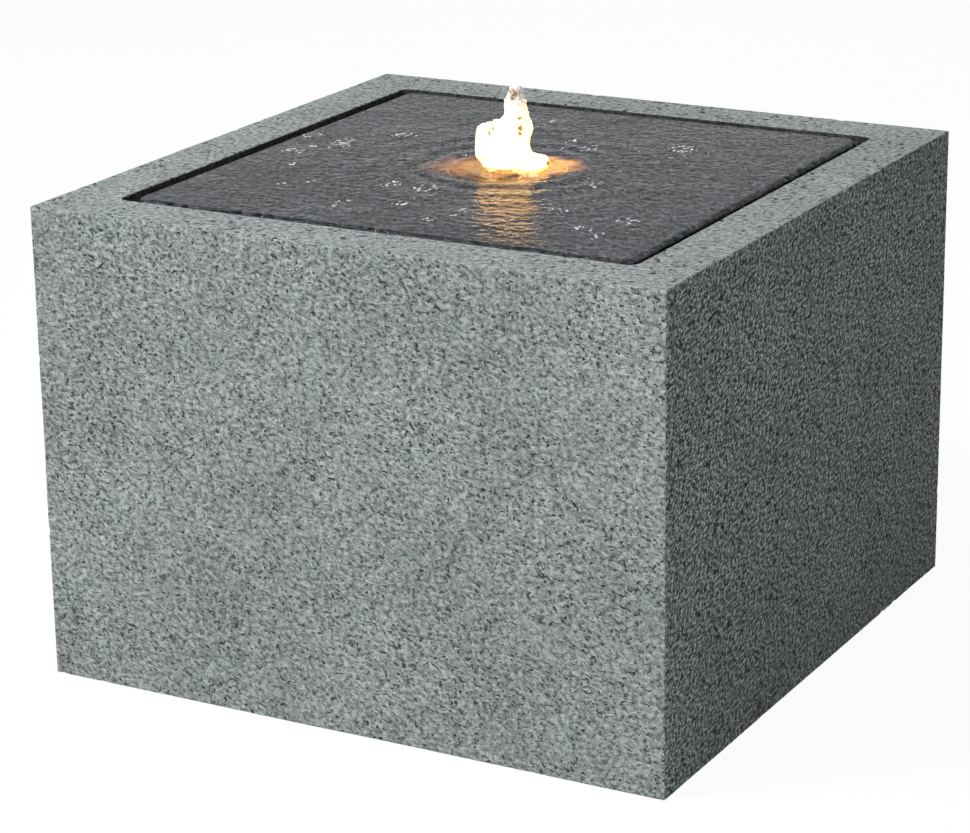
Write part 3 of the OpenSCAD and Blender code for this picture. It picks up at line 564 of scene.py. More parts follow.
@dataclass(frozen=True)
class ClearLens:
    """Clear moulded plastic with a prismatic underside and a painted glow for the light of the
    diodes below it.
    """

    name: str
    glow: Colour
    dim: float
    bright: float

    def paint(self) -> bpy.types.Material:
        """Builds the material.

        Returns:
            the material
        """
        f = Finish(self.name)
        haze = f.noise(300.0, 3.0, 0.6)
        return f.surface(
            base_color=f.ramp(haze, (0.3, (0.93, 0.90, 0.82)), (0.7, (1.0, 0.98, 0.94))),
            roughness=f.spread(haze, 0.3, 0.7, 0.06, 0.16),
            normal=f.bump(f.cells(600.0), 0.0002, 0.5),
            # painted glow: emission stands in for the diodes' light in the lens
            ior=1.49, transmission_weight=0.8, emission_color=self.glow,
            emission_strength=f.spread(haze, 0.3, 0.7, self.dim, self.bright),
        )


@dataclass(frozen=True)
class Lacquered:
    """Lacquered circuit board with faint copper tracks and pads."""

    name: str
    lacquer: Colour
    track: Colour

    def paint(self) -> bpy.types.Material:
        """Builds the material.

        Returns:
            the material
        """
        f = Finish(self.name)
        bricks = f.join(
            f.add("ShaderNodeTexBrick", offset=0.37, squash=0.8), f.place,
            Scale=160.0, Mortar_Size=0.10, Brick_Width=1.4, Row_Height=0.55,
        ).outputs["Fac"]
        fibres = f.noise(900.0, 2.0, 0.5)
        tone = f.mix(f.times(bricks, 0.6), self.lacquer, self.track)
        worn = f.spread(fibres, 0.4, 0.7, 0.0, 0.25)
        return f.surface(
            base_color=f.mix(worn, tone, scaled(self.lacquer, 0.7)),
            roughness=f.spread(fibres, 0.3, 0.7, 0.22, 0.38),
            normal=f.bump(bricks, 0.00005, 0.8), coat_weight=0.3, coat_roughness=0.1,
        )


@dataclass(frozen=True)
class Metal:
    """Metal with fine machining lines, and stacked sheets where their pitch is given."""

    name: str
    colour: Colour
    roughness: float
    pitch: float = 0.0

    def paint(self) -> bpy.types.Material:
        """Builds the material.

        Returns:
            the material
        """
        f = Finish(self.name)
        height = lines = f.noise(420.0, 4.0, 0.7, f.vector("MULTIPLY", f.place, (1.0, 14.0, 1.0)))
        dark = scaled(self.colour, 0.62)
        tone = f.ramp(f.noise(120.0, 3.0, 0.6), (0.3, dark), (0.6, self.colour))
        if self.pitch > 0.0:
            split = f.join(f.add("ShaderNodeSeparateXYZ"), f.place)
            wave = f.math("SINE", f.times(split.outputs[1], FULL_TURN / self.pitch))
            height = f.plus(f.times(wave, 0.8), lines)
            tone = f.mix(f.spread(wave, -1.0, -0.6, 0.6, 0.0), tone, dark)
        return f.surface(
            base_color=tone, metallic=1.0, normal=f.bump(height, 0.00006, 0.7),
            roughness=f.spread(lines, 0.3, 0.7, self.roughness - 0.07, self.roughness + 0.1),
        )


@dataclass(frozen=True)
class Fired:
    """Sintered or ground ceramic with fine pores."""

    name: str
    colour: Colour
    roughness: float

    def paint(self) -> bpy.types.Material:
        """Builds the material.

        Returns:
            the material
        """
        f = Finish(self.name)
        cloud = f.noise(180.0, 4.0, 0.6)
        return f.surface(
            base_color=f.ramp(cloud, (0.3, scaled(self.colour, 0.78)), (0.7, self.colour)),
            roughness=f.spread(cloud, 0.3, 0.7, self.roughness - 0.08, self.roughness + 0.08),
            normal=f.bump(f.cells(1500.0), 0.00004, 0.6),
        )


@dataclass(frozen=True)
class OpenFoam:
    """Open-celled foam with painted shade in its pores."""

    name: str
    colour: Colour

    def paint(self) -> bpy.types.Material:
        """Builds the material.

        Returns:
            the material
        """
        f = Finish(self.name)
        pores = f.cells(620.0)
        # painted shade: the colour falls to a quarter towards the middles of the cells, where the
        # pores are
        tone = f.ramp(pores, (0.0, scaled(self.colour, 0.25)), (0.45, self.colour))
        silt = f.spread(f.noise(90.0, 3.0, 0.6), 0.45, 0.7, 0.0, 0.5)
        return f.surface(
            base_color=f.mix(silt, tone, (0.16, 0.15, 0.11)), roughness=0.9,
            normal=f.bump(pores, 0.0008, 0.9), sheen_weight=0.3,
        )


@dataclass(frozen=True)
class Diode:
    """A lit diode, brightest in the middle of its dome."""

    name: str
    glow: Colour
    strength: float

    def paint(self) -> bpy.types.Material:
        """Builds the material.

        Returns:
            the material
        """
        f = Finish(self.name)
        speckle = f.cells(2400.0)
        return f.surface(
            base_color=(0.95, 0.80, 0.35), roughness=0.3, normal=f.bump(speckle, 0.00005, 0.5),
            emission_color=f.ramp(speckle, (0.0, self.glow), (0.8, (1.0, 0.78, 0.38))),
            emission_strength=f.spread(speckle, 0.0, 0.8, self.strength, self.strength * 0.7),
        )


class Box:
    """The finishes of the whole fountain, each made once."""

    def __init__(self) -> None:
        """Names every finish and paints it."""
        dry, wet = Wetness.DRY, Wetness.WET
        finishes = (
            Granite("granite_dry", dry, (0.330, 0.361, 0.361), (0.024, 0.032, 0.034),
                    contrast=0.62, roughness=0.75, relief=0.0026, grain=450.0, specks=0.95),
            Granite("granite_rim", dry, (0.300, 0.328, 0.328), (0.020, 0.027, 0.029),
                    contrast=0.60, roughness=0.75, relief=0.0018, grain=380.0, stretch=0.1,
                    specks=1.0, speck_grain=0.70),
            # shaded copy of the granite for the sides facing along x: stronger contrast and
            # near-black specks paint the look of the side in shade; its deeper relief is bump
            Granite("granite_shaded_side", dry, (0.350, 0.390, 0.390), (0.004, 0.006, 0.007),
                    contrast=2.20, roughness=0.8, relief=0.0065, grain=600.0, stretch=0.42,
                    specks=1.0, speck_grain=0.52, saw=(0.0, 0.95, 0.31)),
            Granite("granite_damp", wet, (0.050, 0.053, 0.055), (0.010, 0.011, 0.012),
                    contrast=0.60, roughness=0.6, relief=0.0012, grain=480.0),
            # the wet slab's side gets painted shade below its top edge, for the gap round the slab
            Granite("granite_wet", wet, (0.036, 0.038, 0.041), (0.004, 0.005, 0.006),
                    contrast=1.20, roughness=0.5, relief=0.0008, grain=260.0, stretch=0.2,
                    specks=0.5, shaded_below=0.2829),
            RunningWater("running_water", (0.95, 0.97, 1.0), bend=1.082),
            RunningWater("welling_water", grey(0.12), bend=1.09),
            LitFoam("lit_foam", hot=(1.0, 0.54, 0.18), warm=(1.0, 0.58, 0.18), strength=4.2),
            LitFoam("lit_drops", hot=(1.0, 0.72, 0.36), warm=(1.0, 0.60, 0.20), strength=1.1),
            # near-white bubbles that stand in for glints on the water: painted highlights
            GlintBubbles("glint_bubble_skin", (0.93, 0.95, 0.98)),
            Moulded("black_plastic", (0.030, 0.032, 0.036)),
            Moulded("grey_plastic", (0.085, 0.090, 0.098), 0.45),
            Moulded("blue_plastic", (0.035, 0.13, 0.30), 0.38),
            Moulded("white_plastic", (0.70, 0.71, 0.70), 0.35),
            Moulded("black_rubber", (0.022, 0.022, 0.024), 0.68, 0.00008, 900.0, 0.25),
            Moulded("lead_sheath", (0.026, 0.026, 0.028), 0.55, 0.00005, 1100.0, 0.1),
            ClearLens("clear_lens", (1.0, 0.50, 0.15), dim=0.10, bright=0.18),
            Lacquered("white_lacquer", (0.78, 0.78, 0.74), track=(0.72, 0.52, 0.26)),
            Lacquered("green_lacquer", (0.02, 0.16, 0.07), track=(0.08, 0.34, 0.14)),
            Metal("laminated_steel", (0.36, 0.37, 0.39), 0.42, pitch=0.0005),
            Metal("enamelled_copper", (0.66, 0.27, 0.09), 0.28),
            Metal("stainless_steel", (0.62, 0.62, 0.63), 0.26),
            Metal("brass", (0.74, 0.55, 0.22), 0.24),
            Fired("ferrite", (0.075, 0.075, 0.080), 0.5),
            Fired("white_ceramic", (0.80, 0.79, 0.75), 0.25),
            OpenFoam("blue_foam", (0.06, 0.16, 0.30)),
            Diode("lit_diode", (1.0, 0.60, 0.20), strength=2.0),
        )
        self.paints = {finish.name: finish.paint() for finish in finishes}

    def __getitem__(self, name: str) -> bpy.types.Material:
        """Returns a finish by its name."""
        return self.paints[name]


def make_object(name: str, points: Points, faces: Faces, material: bpy.types.Material,
                sharp: float = 40.0, outward: bool = True) -> bpy.types.Object:
    """Makes a mesh piece with smooth faces and sharp edges.

    Args:
        name: the piece's name
        points: its points, in metres
        faces: its faces, as lists of point numbers
        material: its finish
        sharp: angle in degrees past which an edge stays sharp
        outward: whether the faces are turned outwards first

    Returns:
        the piece
    """
    mesh = bpy.data.meshes.new(name)
    mesh.from_pydata(np.asarray(points, float).tolist(), [], faces)
    if outward:
        shell = bmesh.new()
        shell.from_mesh(mesh)
        bmesh.ops.recalc_face_normals(shell, faces=shell.faces[:])
        shell.to_mesh(mesh)
        shell.free()
    mesh.shade_smooth()
    mesh.set_sharp_from_angle(angle=math.radians(sharp))
    mesh.materials.append(material)
    return show(name, mesh)


def show(name: str, data: bpy.types.ID) -> bpy.types.Object:
    """Makes an object of a mesh, a lamp or a camera and puts it in the scene."""
    piece = bpy.data.objects.new(name, data)
    bpy.context.scene.collection.objects.link(piece)
    return piece


def line_object(name: str, points: Points) -> bpy.types.Object:
    """Makes an object of one open line through points."""
    mesh = bpy.data.meshes.new(name)
    links = [[i, i + 1] for i in range(len(points) - 1)]
    mesh.from_pydata(np.asarray(points, float).tolist(), links, [])
    return show(name, mesh)


def band_faces(rings: int, count: int, closed: bool = False) -> Faces:
    """Lists the faces between rings of points that follow one another.

    Args:
        rings: number of rings
        count: number of points in each
        closed: whether the last ring joins the first

    Returns:
        faces of four points each
    """
    faces: Faces = []
    for i in range(rings if closed else rings - 1):
        low, high = i * count, ((i + 1) % rings) * count
        for k in range(count):
            n = (k + 1) % count
            faces.append([low + k, low + n, high + n, high + k])
    return faces


def capped(rings: Sequence[Points]) -> tuple[Points, Faces]:
    """Joins rings of points into a closed body with a face over either end.

    Args:
        rings: the rings, with as many points in each

    Returns:
        points and faces
    """
    count, last = len(rings[0]), (len(rings) - 1) * len(rings[0])
    caps = [list(range(count)), list(range(last, last + count))]
    return np.concatenate(rings), band_faces(len(rings), count) + caps


def circle(count: int) -> Points:
    """Lists points round a circle of radius one, seen from above."""
    turn = np.linspace(0.0, FULL_TURN, count, endpoint=False)
    return np.column_stack([np.cos(turn), np.sin(turn)])


def rounded_square(half: float, radius: float, per_side: int, per_arc: int) -> Points:
    """Lists the points of a square with round corners, seen from above.

    Args:
        half: half its width
        radius: radius of its corners
        per_side: number of steps along a side
        per_arc: number of steps round a corner

    Returns:
        points of two coordinates each
    """
    radius = max(radius, 0.00005)
    flat = half - radius
    points = []
    for corner in range(4):
        turn = math.radians(90.0 * corner)
        c, s = math.cos(turn), math.sin(turn)
        local = [(flat * (2.0 * i / per_side - 1.0), -half) for i in range(per_side)]
        for i in range(per_arc):
            a = math.radians(-90.0 + 90.0 * i / per_arc)
            local.append((flat + radius * math.cos(a), -flat + radius * math.sin(a)))
        points += [(x * c - y * s, x * s + y * c) for x, y in local]
    return np.array(points)


def at_height(flat: Points, z: float) -> Points:
    """Lifts flat points to one height."""
    return np.column_stack([flat, np.full(len(flat), z)])


def rays(ring: Points) -> Points:
    """Returns the directions from the middle to the points of a ring, seen from above."""
    flat = ring[:, :2]
    return flat / np.linalg.norm(flat, axis=1)[:, None]


def turned(points: Points, degrees: float) -> Points:
    """Returns points turned about the upright axis."""
    c, s = math.cos(math.radians(degrees)), math.sin(math.radians(degrees))
    x, y = points[:, 0], points[:, 1]
    return np.column_stack([x * c - y * s, x * s + y * c, points[:, 2]])


def bake_rule(piece: bpy.types.Object) -> bpy.types.Object:
    """Turns a piece with live modifiers into a plain mesh and removes the modifiers.

    Args:
        piece: the piece

    Returns:
        the same piece
    """
    graph = bpy.context.evaluated_depsgraph_get()
    mesh = bpy.data.meshes.new_from_object(
        piece.evaluated_get(graph), preserve_all_data_layers=True, depsgraph=graph,
    )
    piece.modifiers.clear()
    old, piece.data = piece.data, mesh
    mesh.name = piece.name
    bpy.data.meshes.remove(old)
    return piece


def cut_away(piece: bpy.types.Object, cutter: bpy.types.Object) -> None:
    """Takes one closed mesh out of another and removes the cutter.

    Args:
        piece: the piece that stays
        cutter: the mesh that is taken out of it
    """
    cut = piece.modifiers.new("cut", "BOOLEAN")
    cut.operation, cut.solver, cut.object = "DIFFERENCE", "EXACT", cutter
    bake_rule(piece)
    bpy.data.objects.remove(cutter)


class Rule(Graph):
    """A Geometry Nodes tree with named inputs, which ends in Realize Instances and Set Material."""

    KINDS: dict[type, str] = {
        float: "NodeSocketFloat", int: "NodeSocketInt", tuple: "NodeSocketVector",
    }

    def __init__(self, name: str, **inputs: object) -> None:
        """Starts the tree with a geometry, a material and other inputs.

        Args:
            name: the tree's name
            inputs: first values of its other inputs by name, with underscores for blanks
        """
        tree = bpy.data.node_groups.new(name, "GeometryNodeTree")
        super().__init__(tree)
        new_socket = tree.interface.new_socket
        for way in ("INPUT", "OUTPUT"):
            new_socket(name="Geometry", in_out=way, socket_type="NodeSocketGeometry")
        socket = new_socket(name="Material", in_out="INPUT", socket_type="NodeSocketMaterial")
        self.keys = {"Material": socket.identifier}
        for key, value in inputs.items():
            label, kind = key.replace("_", " "), self.KINDS[type(value)]
            socket = new_socket(name=label, in_out="INPUT", socket_type=kind)
            socket.default_value = value
            self.keys[key] = socket.identifier
        self.start = self.add("NodeGroupInput")
        self.end = self.add("NodeGroupOutput")

    def given(self, label: str) -> Socket:
        """Returns one of the tree's inputs."""
        return self.start.outputs[label]

    def stored(self, name: str) -> Socket:
        """Returns a number that is stored on the piece's points."""
        node = self.add("GeometryNodeInputNamedAttribute", data_type="FLOAT")
        return self.join(node, name).outputs[0]

    def uneven(self, height: Socket, *pattern: Value) -> Socket:
        """Returns a cloudy pattern about nought, as high as one of the tree's inputs says."""
        return self.times(self.minus(self.noise(*pattern), 0.5), height)

    def moved(self, geometry: Socket, offset: Socket) -> Socket:
        """Returns a geometry with every point moved by its own offset."""
        node = self.add("GeometryNodeSetPosition")
        return self.join(node, Geometry=geometry, Offset=offset).outputs[0]

    def smooth(self, geometry: Socket) -> Socket:
        """Returns a geometry with smooth faces."""
        return self.join(self.add("GeometryNodeSetShadeSmooth"), geometry).outputs[0]

    def close(self, geometry: Socket) -> "Rule":
        """Ends the tree.

        Args:
            geometry: what the tree has made

        Returns:
            the tree
        """
        real = self.join(self.add("GeometryNodeRealizeInstances"), geometry)
        paint = self.join(self.add("GeometryNodeSetMaterial"), Geometry=real.outputs[0],
                          Material=self.given("Material"))
        self.feed(self.end.inputs[0], paint.outputs[0])
        return self

    def run(self, piece: bpy.types.Object, **values: object) -> bpy.types.Object:
        """Applies the tree to a piece and leaves a plain mesh.

        Args:
            piece: the piece that the tree starts from
            values: the tree's inputs by name, with underscores for blanks

        Returns:
            the same piece
        """
        modifier = piece.modifiers.new(self.tree.name, "NODES")
        modifier.node_group = self.tree
        for key, value in values.items():
            modifier[self.keys[key]] = value
        return bake_rule(piece)


def ripple_rule() -> Rule:
    """Builds the tree that raises rings of waves and cross waves on a water surface.

    Returns:
        the tree
    """
    rule = Rule("ripples", Ring_Height=0.0007, Wavelength=0.009, Reach=0.05, Chop_Height=0.0009,
                Chop_Scale=95.0, Fine_Height=0.0004, Seed=4.0)
    place = rule.add("GeometryNodeInputPosition").outputs[0]
    flat = rule.vector("MULTIPLY", place, (1.0, 1.0, 0.0))
    radius = rule.measure("LENGTH", flat)
    seeded = rule.vector("ADD", flat, rule.combine(z=rule.given("Seed")))
    stir = rule.minus(rule.noise(26.0, 2.0, 0.5, seeded), 0.5)
    phase = rule.math("DIVIDE", rule.plus(radius, rule.times(stir, 0.03)), rule.given("Wavelength"))
    ring = rule.math("SINE", rule.times(phase, FULL_TURN))
    decay = rule.times(rule.math("DIVIDE", radius, rule.given("Reach")), -1.0)
    ring = rule.times(rule.times(ring, rule.math("EXPONENT", decay)), rule.given("Ring Height"))
    chop = rule.uneven(rule.given("Chop Height"), rule.given("Chop Scale"), 2.0, 0.5, seeded)
    patchy = rule.spread(rule.noise(20.0, 2.0, 0.5, seeded), 0.42, 0.62, 0.35, 1.0)
    fine = rule.uneven(rule.given("Fine Height"), 330.0, 1.0, 0.5, seeded)
    height = rule.plus(rule.plus(ring, rule.times(chop, patchy)), fine)
    offset = rule.combine(z=rule.times(height, rule.stored("crest")))
    return rule.close(rule.moved(rule.given("Geometry"), offset))


def froth_rule() -> Rule:
    """Builds the tree that melts points with radii into one frothy body.

    Returns:
        the tree
    """
    rule = Rule("froth", Voxel=0.0009, Lump_Height=0.0016, Lump_Scale=170.0, Fine_Height=0.0007,
                Seed=2.0)
    size = rule.stored("size")
    dots = rule.join(rule.add("GeometryNodeMeshToPoints", mode="VERTICES"),
                     Mesh=rule.given("Geometry"), Radius=size)
    cloud = rule.join(rule.add("GeometryNodePointsToVolume", resolution_mode="VOXEL_SIZE"),
                      Points=dots.outputs[0], Radius=size, Voxel_Size=rule.given("Voxel"))
    skin = rule.join(rule.add("GeometryNodeVolumeToMesh"), Volume=cloud.outputs[0], Threshold=0.1)
    place = rule.add("GeometryNodeInputPosition").outputs[0]
    seeded = rule.vector("ADD", place, rule.combine(x=rule.given("Seed")))
    coarse = rule.uneven(rule.given("Lump Height"), rule.given("Lump Scale"), 2.0, 0.5, seeded)
    fine = rule.uneven(rule.given("Fine Height"), 480.0, 2.0, 0.6, seeded)
    normal = rule.add("GeometryNodeInputNormal").outputs[0]
    offset = rule.vector("SCALE", normal, Scale=rule.plus(coarse, fine))
    return rule.close(rule.smooth(rule.moved(skin.outputs[0], offset)))


def scatter_rule() -> Rule:
    """Builds the tree that scatters small drops over a surface and drops the surface itself.

    Returns:
        the tree
    """
    rule = Rule("drops", Density=20000.0, Least=0.0004, Most=0.0012, Seed=3, Length=1.0, Height=1.0,
                Turn_From=0.0, Turn_To=0.0)

    def between(low: str, high: str) -> Socket:
        """Returns a number for each drop, by chance, between two inputs of the tree."""
        chance = rule.add("FunctionNodeRandomValue", data_type="FLOAT")
        given = {"Min": low, "Max": high, "Seed": "Seed"}
        for socket in chance.inputs:
            if socket.enabled and socket.name in given:
                rule.feed(socket, rule.given(given[socket.name]))
        return next(s for s in chance.outputs if s.enabled)

    spread = rule.join(
        rule.add("GeometryNodeDistributePointsOnFaces"), Mesh=rule.given("Geometry"),
        Density=rule.given("Density"), Seed=rule.given("Seed"),
    )
    drop = rule.join(rule.add("GeometryNodeMeshIcoSphere"), Radius=1.0, Subdivisions=2)
    size = between("Least", "Most")
    length, height = (rule.times(size, rule.given(label)) for label in ("Length", "Height"))
    copies = rule.join(
        rule.add("GeometryNodeInstanceOnPoints"), Points=spread.outputs["Points"],
        Instance=drop.outputs["Mesh"], Scale=rule.combine(length, size, height),
        Rotation=rule.combine(z=between("Turn From", "Turn To")),
    )
    return rule.close(copies.outputs[0])


def ring_rule() -> Rule:
    """Builds the tree that turns copies of a piece round the upright axis and then places them.

    Returns:
        the tree
    """
    rule = Rule("ring_of_copies", Count=8, Place=(0.0, 0.0, 0.0), Turn=(0.0, 0.0, 0.0))
    line = rule.join(rule.add("GeometryNodeMeshLine", mode="OFFSET"), Count=rule.given("Count"),
                     Offset=(0.0, 0.0, 0.0))
    index = rule.add("GeometryNodeInputIndex").outputs[0]
    angle = rule.times(rule.math("DIVIDE", index, rule.given("Count")), FULL_TURN)
    copies = rule.join(rule.add("GeometryNodeInstanceOnPoints"), Points=line.outputs[0],
                       Instance=rule.given("Geometry"), Rotation=rule.combine(z=angle))
    placed = rule.join(rule.add("GeometryNodeTransform"), Geometry=copies.outputs[0],
                       Translation=rule.given("Place"), Rotation=rule.given("Turn"))
    return rule.close(placed.outputs[0])


def wire_rule() -> Rule:
    """Builds the tree that draws a round wire along a line of points.

    Returns:
        the tree
    """
    rule = Rule("wire", Radius=0.0004, Sides=8)
    path = rule.join(rule.add("GeometryNodeMeshToCurve"), rule.given("Geometry"))
    outline = rule.join(rule.add("GeometryNodeCurvePrimitiveCircle"),
                        Resolution=rule.given("Sides"), Radius=rule.given("Radius"))
    drawn = rule.join(rule.add("GeometryNodeCurveToMesh"), Curve=path.outputs[0],
                      Profile_Curve=outline.outputs[0], Fill_Caps=True)
    return rule.close(rule.smooth(drawn.outputs[0]))


def give_attribute(piece: bpy.types.Object, name: str, values: Sequence[float]) -> None:
    """Stores one number for each point of a mesh.

    Args:
        piece: the piece
        name: the attribute's name
        values: the numbers
    """
    mesh = piece.data
    layer = mesh.attributes.get(name) or mesh.attributes.new(name, "FLOAT", "POINT")
    layer.data.foreach_set("value", np.asarray(values, np.float32))


def keep_below(piece: bpy.types.Object, height: float) -> None:
    """Presses every point of a piece that stands too high down to one height."""
    for vertex in piece.data.vertices:
        vertex.co.z = min(vertex.co.z, height)


def settle(piece: bpy.types.Object, body: str, slot: str, *nodes: str) -> None:
    """Puts a finished piece on its body and hides the solids that it stands for.

    Args:
        piece: the piece
        body: the body that carries it
        slot: not used
        nodes: the solids that it stands for
    """
    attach(piece, body)
    if nodes:
        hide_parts(*nodes)
    LOG.info("%s: %d points on %s", piece.name, len(piece.data.vertices), body)


def dress(paints: Box, **dressed: Sequence[str]) -> None:
    """Gives carried-over solids their finish.

    Args:
        paints: all finishes
        dressed: for each finish, the names of its solids
    """
    for finish, names in dressed.items():
        for name in names:
            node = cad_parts[name]
            if not node.material_slots:
                node.data.materials.append(paints[finish])
            for holder in node.material_slots:
                holder.material = paints[finish]
            LOG.info("%s: %s", name, finish)


@dataclass
class StoneBlock:
    """The hollow granite block, with worn arrises."""

    width: float = 0.400
    height: float = 0.285
    opening: float = 0.328
    opening_radius: float = 0.006
    ledge: float = 0.250
    floor: float = 0.040
    ledge_leg: float = 0.062
    arris: float = 0.0011
    chip: float = 0.0030
    inlet_x: float = 0.040
    inlet_z: float = 0.080
    hole: float = 0.009
    recess: float = 0.015
    recess_depth: float = 0.010
    overshoot: float = 0.004
    step: float = 0.0024
    near: tuple[float, ...] = (0.0, 0.4, 0.8, 1.3, 2.0, 3.0, 4.4, 6.4)

    def stations(self, length: float) -> Points:
        """Spaces points along an edge, closer near its ends.

        Args:
            length: the edge's length

        Returns:
            the places, about the middle
        """
        half = length / 2
        near = np.array(self.near) * MM
        inner = np.linspace(-half + near[-1], half - near[-1], int(length / self.step))[1:-1]
        return np.concatenate([-half + near, inner, half - near[::-1]])

    def shell(self) -> tuple[Points, Faces]:
        """Builds the outer faces, fine near the edges and whole in the middle.

        Returns:
            points and faces
        """
        sizes = (self.width, self.width, self.height)
        ticks = [self.stations(s) for s in sizes]
        band = len(self.near) - 1
        points: list[tuple[float, float, float]] = []
        known: dict[tuple[int, int, int], int] = {}
        faces: Faces = []

        def number(p: list[float]) -> int:
            """Returns the number of a point, adding it if it is new."""
            key = tuple(round(v * 1e7) for v in p)
            if key not in known:
                known[key] = len(points)
                points.append(tuple(p))
            return known[key]

        for axis in range(3):
            u, v = (axis + 1) % 3, (axis + 2) % 3
            for side in (-1, 1):
                def corner(i: int, j: int) -> int:
                    """Returns the number of the point at one crossing of this face."""
                    p = [0.0, 0.0, 0.0]
                    p[axis] = side * sizes[axis] / 2
                    p[u], p[v] = ticks[u][i], ticks[v][j]
                    return number(p)

                nu, nv = len(ticks[u]) - 1, len(ticks[v]) - 1
                for i in range(nu):
                    for j in range(nv):
                        if band <= i < nu - band and band <= j < nv - band:
                            continue
                        ring = ((i, j), (i + 1, j), (i + 1, j + 1), (i, j + 1))
                        faces.append([corner(*place) for place in ring])
                loop = [corner(i, band) for i in range(band, nu - band)]
                loop += [corner(nu - band, j) for j in range(band, nv - band)]
                loop += [corner(i, nv - band) for i in range(nu - band, band, -1)]
                loop += [corner(band, j) for j in range(nv - band, band, -1)]
                faces.append(loop)
        return np.array(points), faces

    def wear(self, points: Points) -> Points:
        """Rounds the edges unevenly and breaks small chips out of them.

        Args:
            points: the outer points, about the block's middle

        Returns:
            the worn points, with the underside at nought
        """
        half = np.array([self.width, self.width, self.height]) / 2
        worn_within, chips_past, least_length = 0.006, 0.34, 1e-9
        wide_scale, small_scale, fine_scale = 22.0, 105.0, 310.0
        worn = points.copy()
        for i, p in enumerate(points):
            spare = half - np.abs(p)
            if np.sort(spare)[1] > worn_within:
                continue
            spot = Vector(p)
            wide, fine = noise.noise(spot * wide_scale), noise.noise(spot * fine_scale)
            small = noise.noise(spot * small_scale + Vector((7.0, 1.0, 3.0)))
            radius = self.arris * (1.0 + 0.5 * wide + 0.35 * fine)
            radius += max(0.0, small - chips_past) * self.chip * 2.2
            inner = np.clip(p, -(half - radius), half - radius)
            away = p - inner
            length = np.linalg.norm(away)
            if length > least_length:
                worn[i] = inner + away * (radius / length)
        worn[:, 2] += self.height / 2
        return worn

    def opening_cutter(self, paint: bpy.types.Material) -> bpy.types.Object:
        """Builds the square opening over the ledges, flared at its rim."""
        half, radius = self.opening / 2, self.opening_radius
        rings = [at_height(rounded_square(half, radius, 110, 8), self.ledge)]
        for out, up in ((0.0, -0.0016), (0.0002, -0.0009), (0.0006, -0.0004), (0.0013, 0.0003),
                        (self.overshoot, self.overshoot)):
            ring = at_height(rounded_square(half + out, radius + out, 110, 8), self.height + up)
            if 0.0 < out < self.overshoot:
                for p in ring:
                    wander = noise.noise(Vector(p) * 150.0) + 0.6 * noise.noise(Vector(p) * 420.0)
                    p[:2] *= 1.0 + 0.0016 * wander
            rings.append(ring)
        return make_object("cut_opening", *capped(rings), paint)

    def reservoir_cutter(self, paint: bpy.types.Material) -> bpy.types.Object:
        """Builds the eight-sided reservoir below the ledges."""
        c = self.opening / 2
        k = c - self.ledge_leg
        plan = np.array([(-k, -c), (k, -c), (c, -k), (c, k), (k, c), (-k, c), (-c, k), (-c, -k)])
        rings = [at_height(plan, z) for z in (self.floor, self.ledge + self.overshoot)]
        return make_object("cut_reservoir", *capped(rings), paint)

    def bore_cutter(self, paint: bpy.types.Material, radius: float,
                    start: float) -> bpy.types.Object:
        """Builds a round hole through the back wall, from one depth outwards."""
        flat = circle(72) * radius + np.array([self.inlet_x, self.inlet_z])
        rings = [
            np.column_stack([flat[:, 0], np.full(len(flat), y), flat[:, 1]])
            for y in (start, self.width / 2 + self.overshoot)
        ]
        return make_object("cut_bore", *capped(rings), paint)

    def build(self, paints: Box) -> None:
        """Makes the block and dresses it.

        Args:
            paints: all finishes
        """
        points, faces = self.shell()
        dry = paints["granite_dry"]
        block = make_object("stone_block", self.wear(points), faces, dry)
        cut_away(block, self.reservoir_cutter(dry))
        cut_away(block, self.opening_cutter(dry))
        cut_away(block, self.bore_cutter(dry, self.hole, self.opening / 2 - self.overshoot))
        cut_away(block, self.bore_cutter(dry, self.recess, self.width / 2 - self.recess_depth))
        block.data.materials.clear()
        for finish in ("granite_dry", "granite_damp", "granite_rim", "granite_shaded_side"):
            block.data.materials.append(paints[finish])
        # material slots: front granite, damp granite, rim granite, and the shaded copy (painted
        # shade) for the sides turned along x
        front, damp, rim, split = range(4)
        inside, low, high = self.opening / 2 + 0.0008, self.floor - 0.001, self.height - 0.0006
        square_on = 0.7
        for face in block.data.polygons:
            (x, y, z), facing = face.center, face.normal
            if max(abs(x), abs(y)) < inside and low < z < high:
                face.material_index = damp
            elif facing.z > square_on:
                face.material_index = rim
            else:
                # faces turned along x get the shaded copy of the granite: painted shade
                face.material_index = split if abs(facing.x) > square_on else front
        block.data.set_sharp_from_angle(angle=math.radians(35.0))
        settle(block, "block", "granite_dry", "granite_block")
        dress(paints, black_rubber=["cover_pads"])


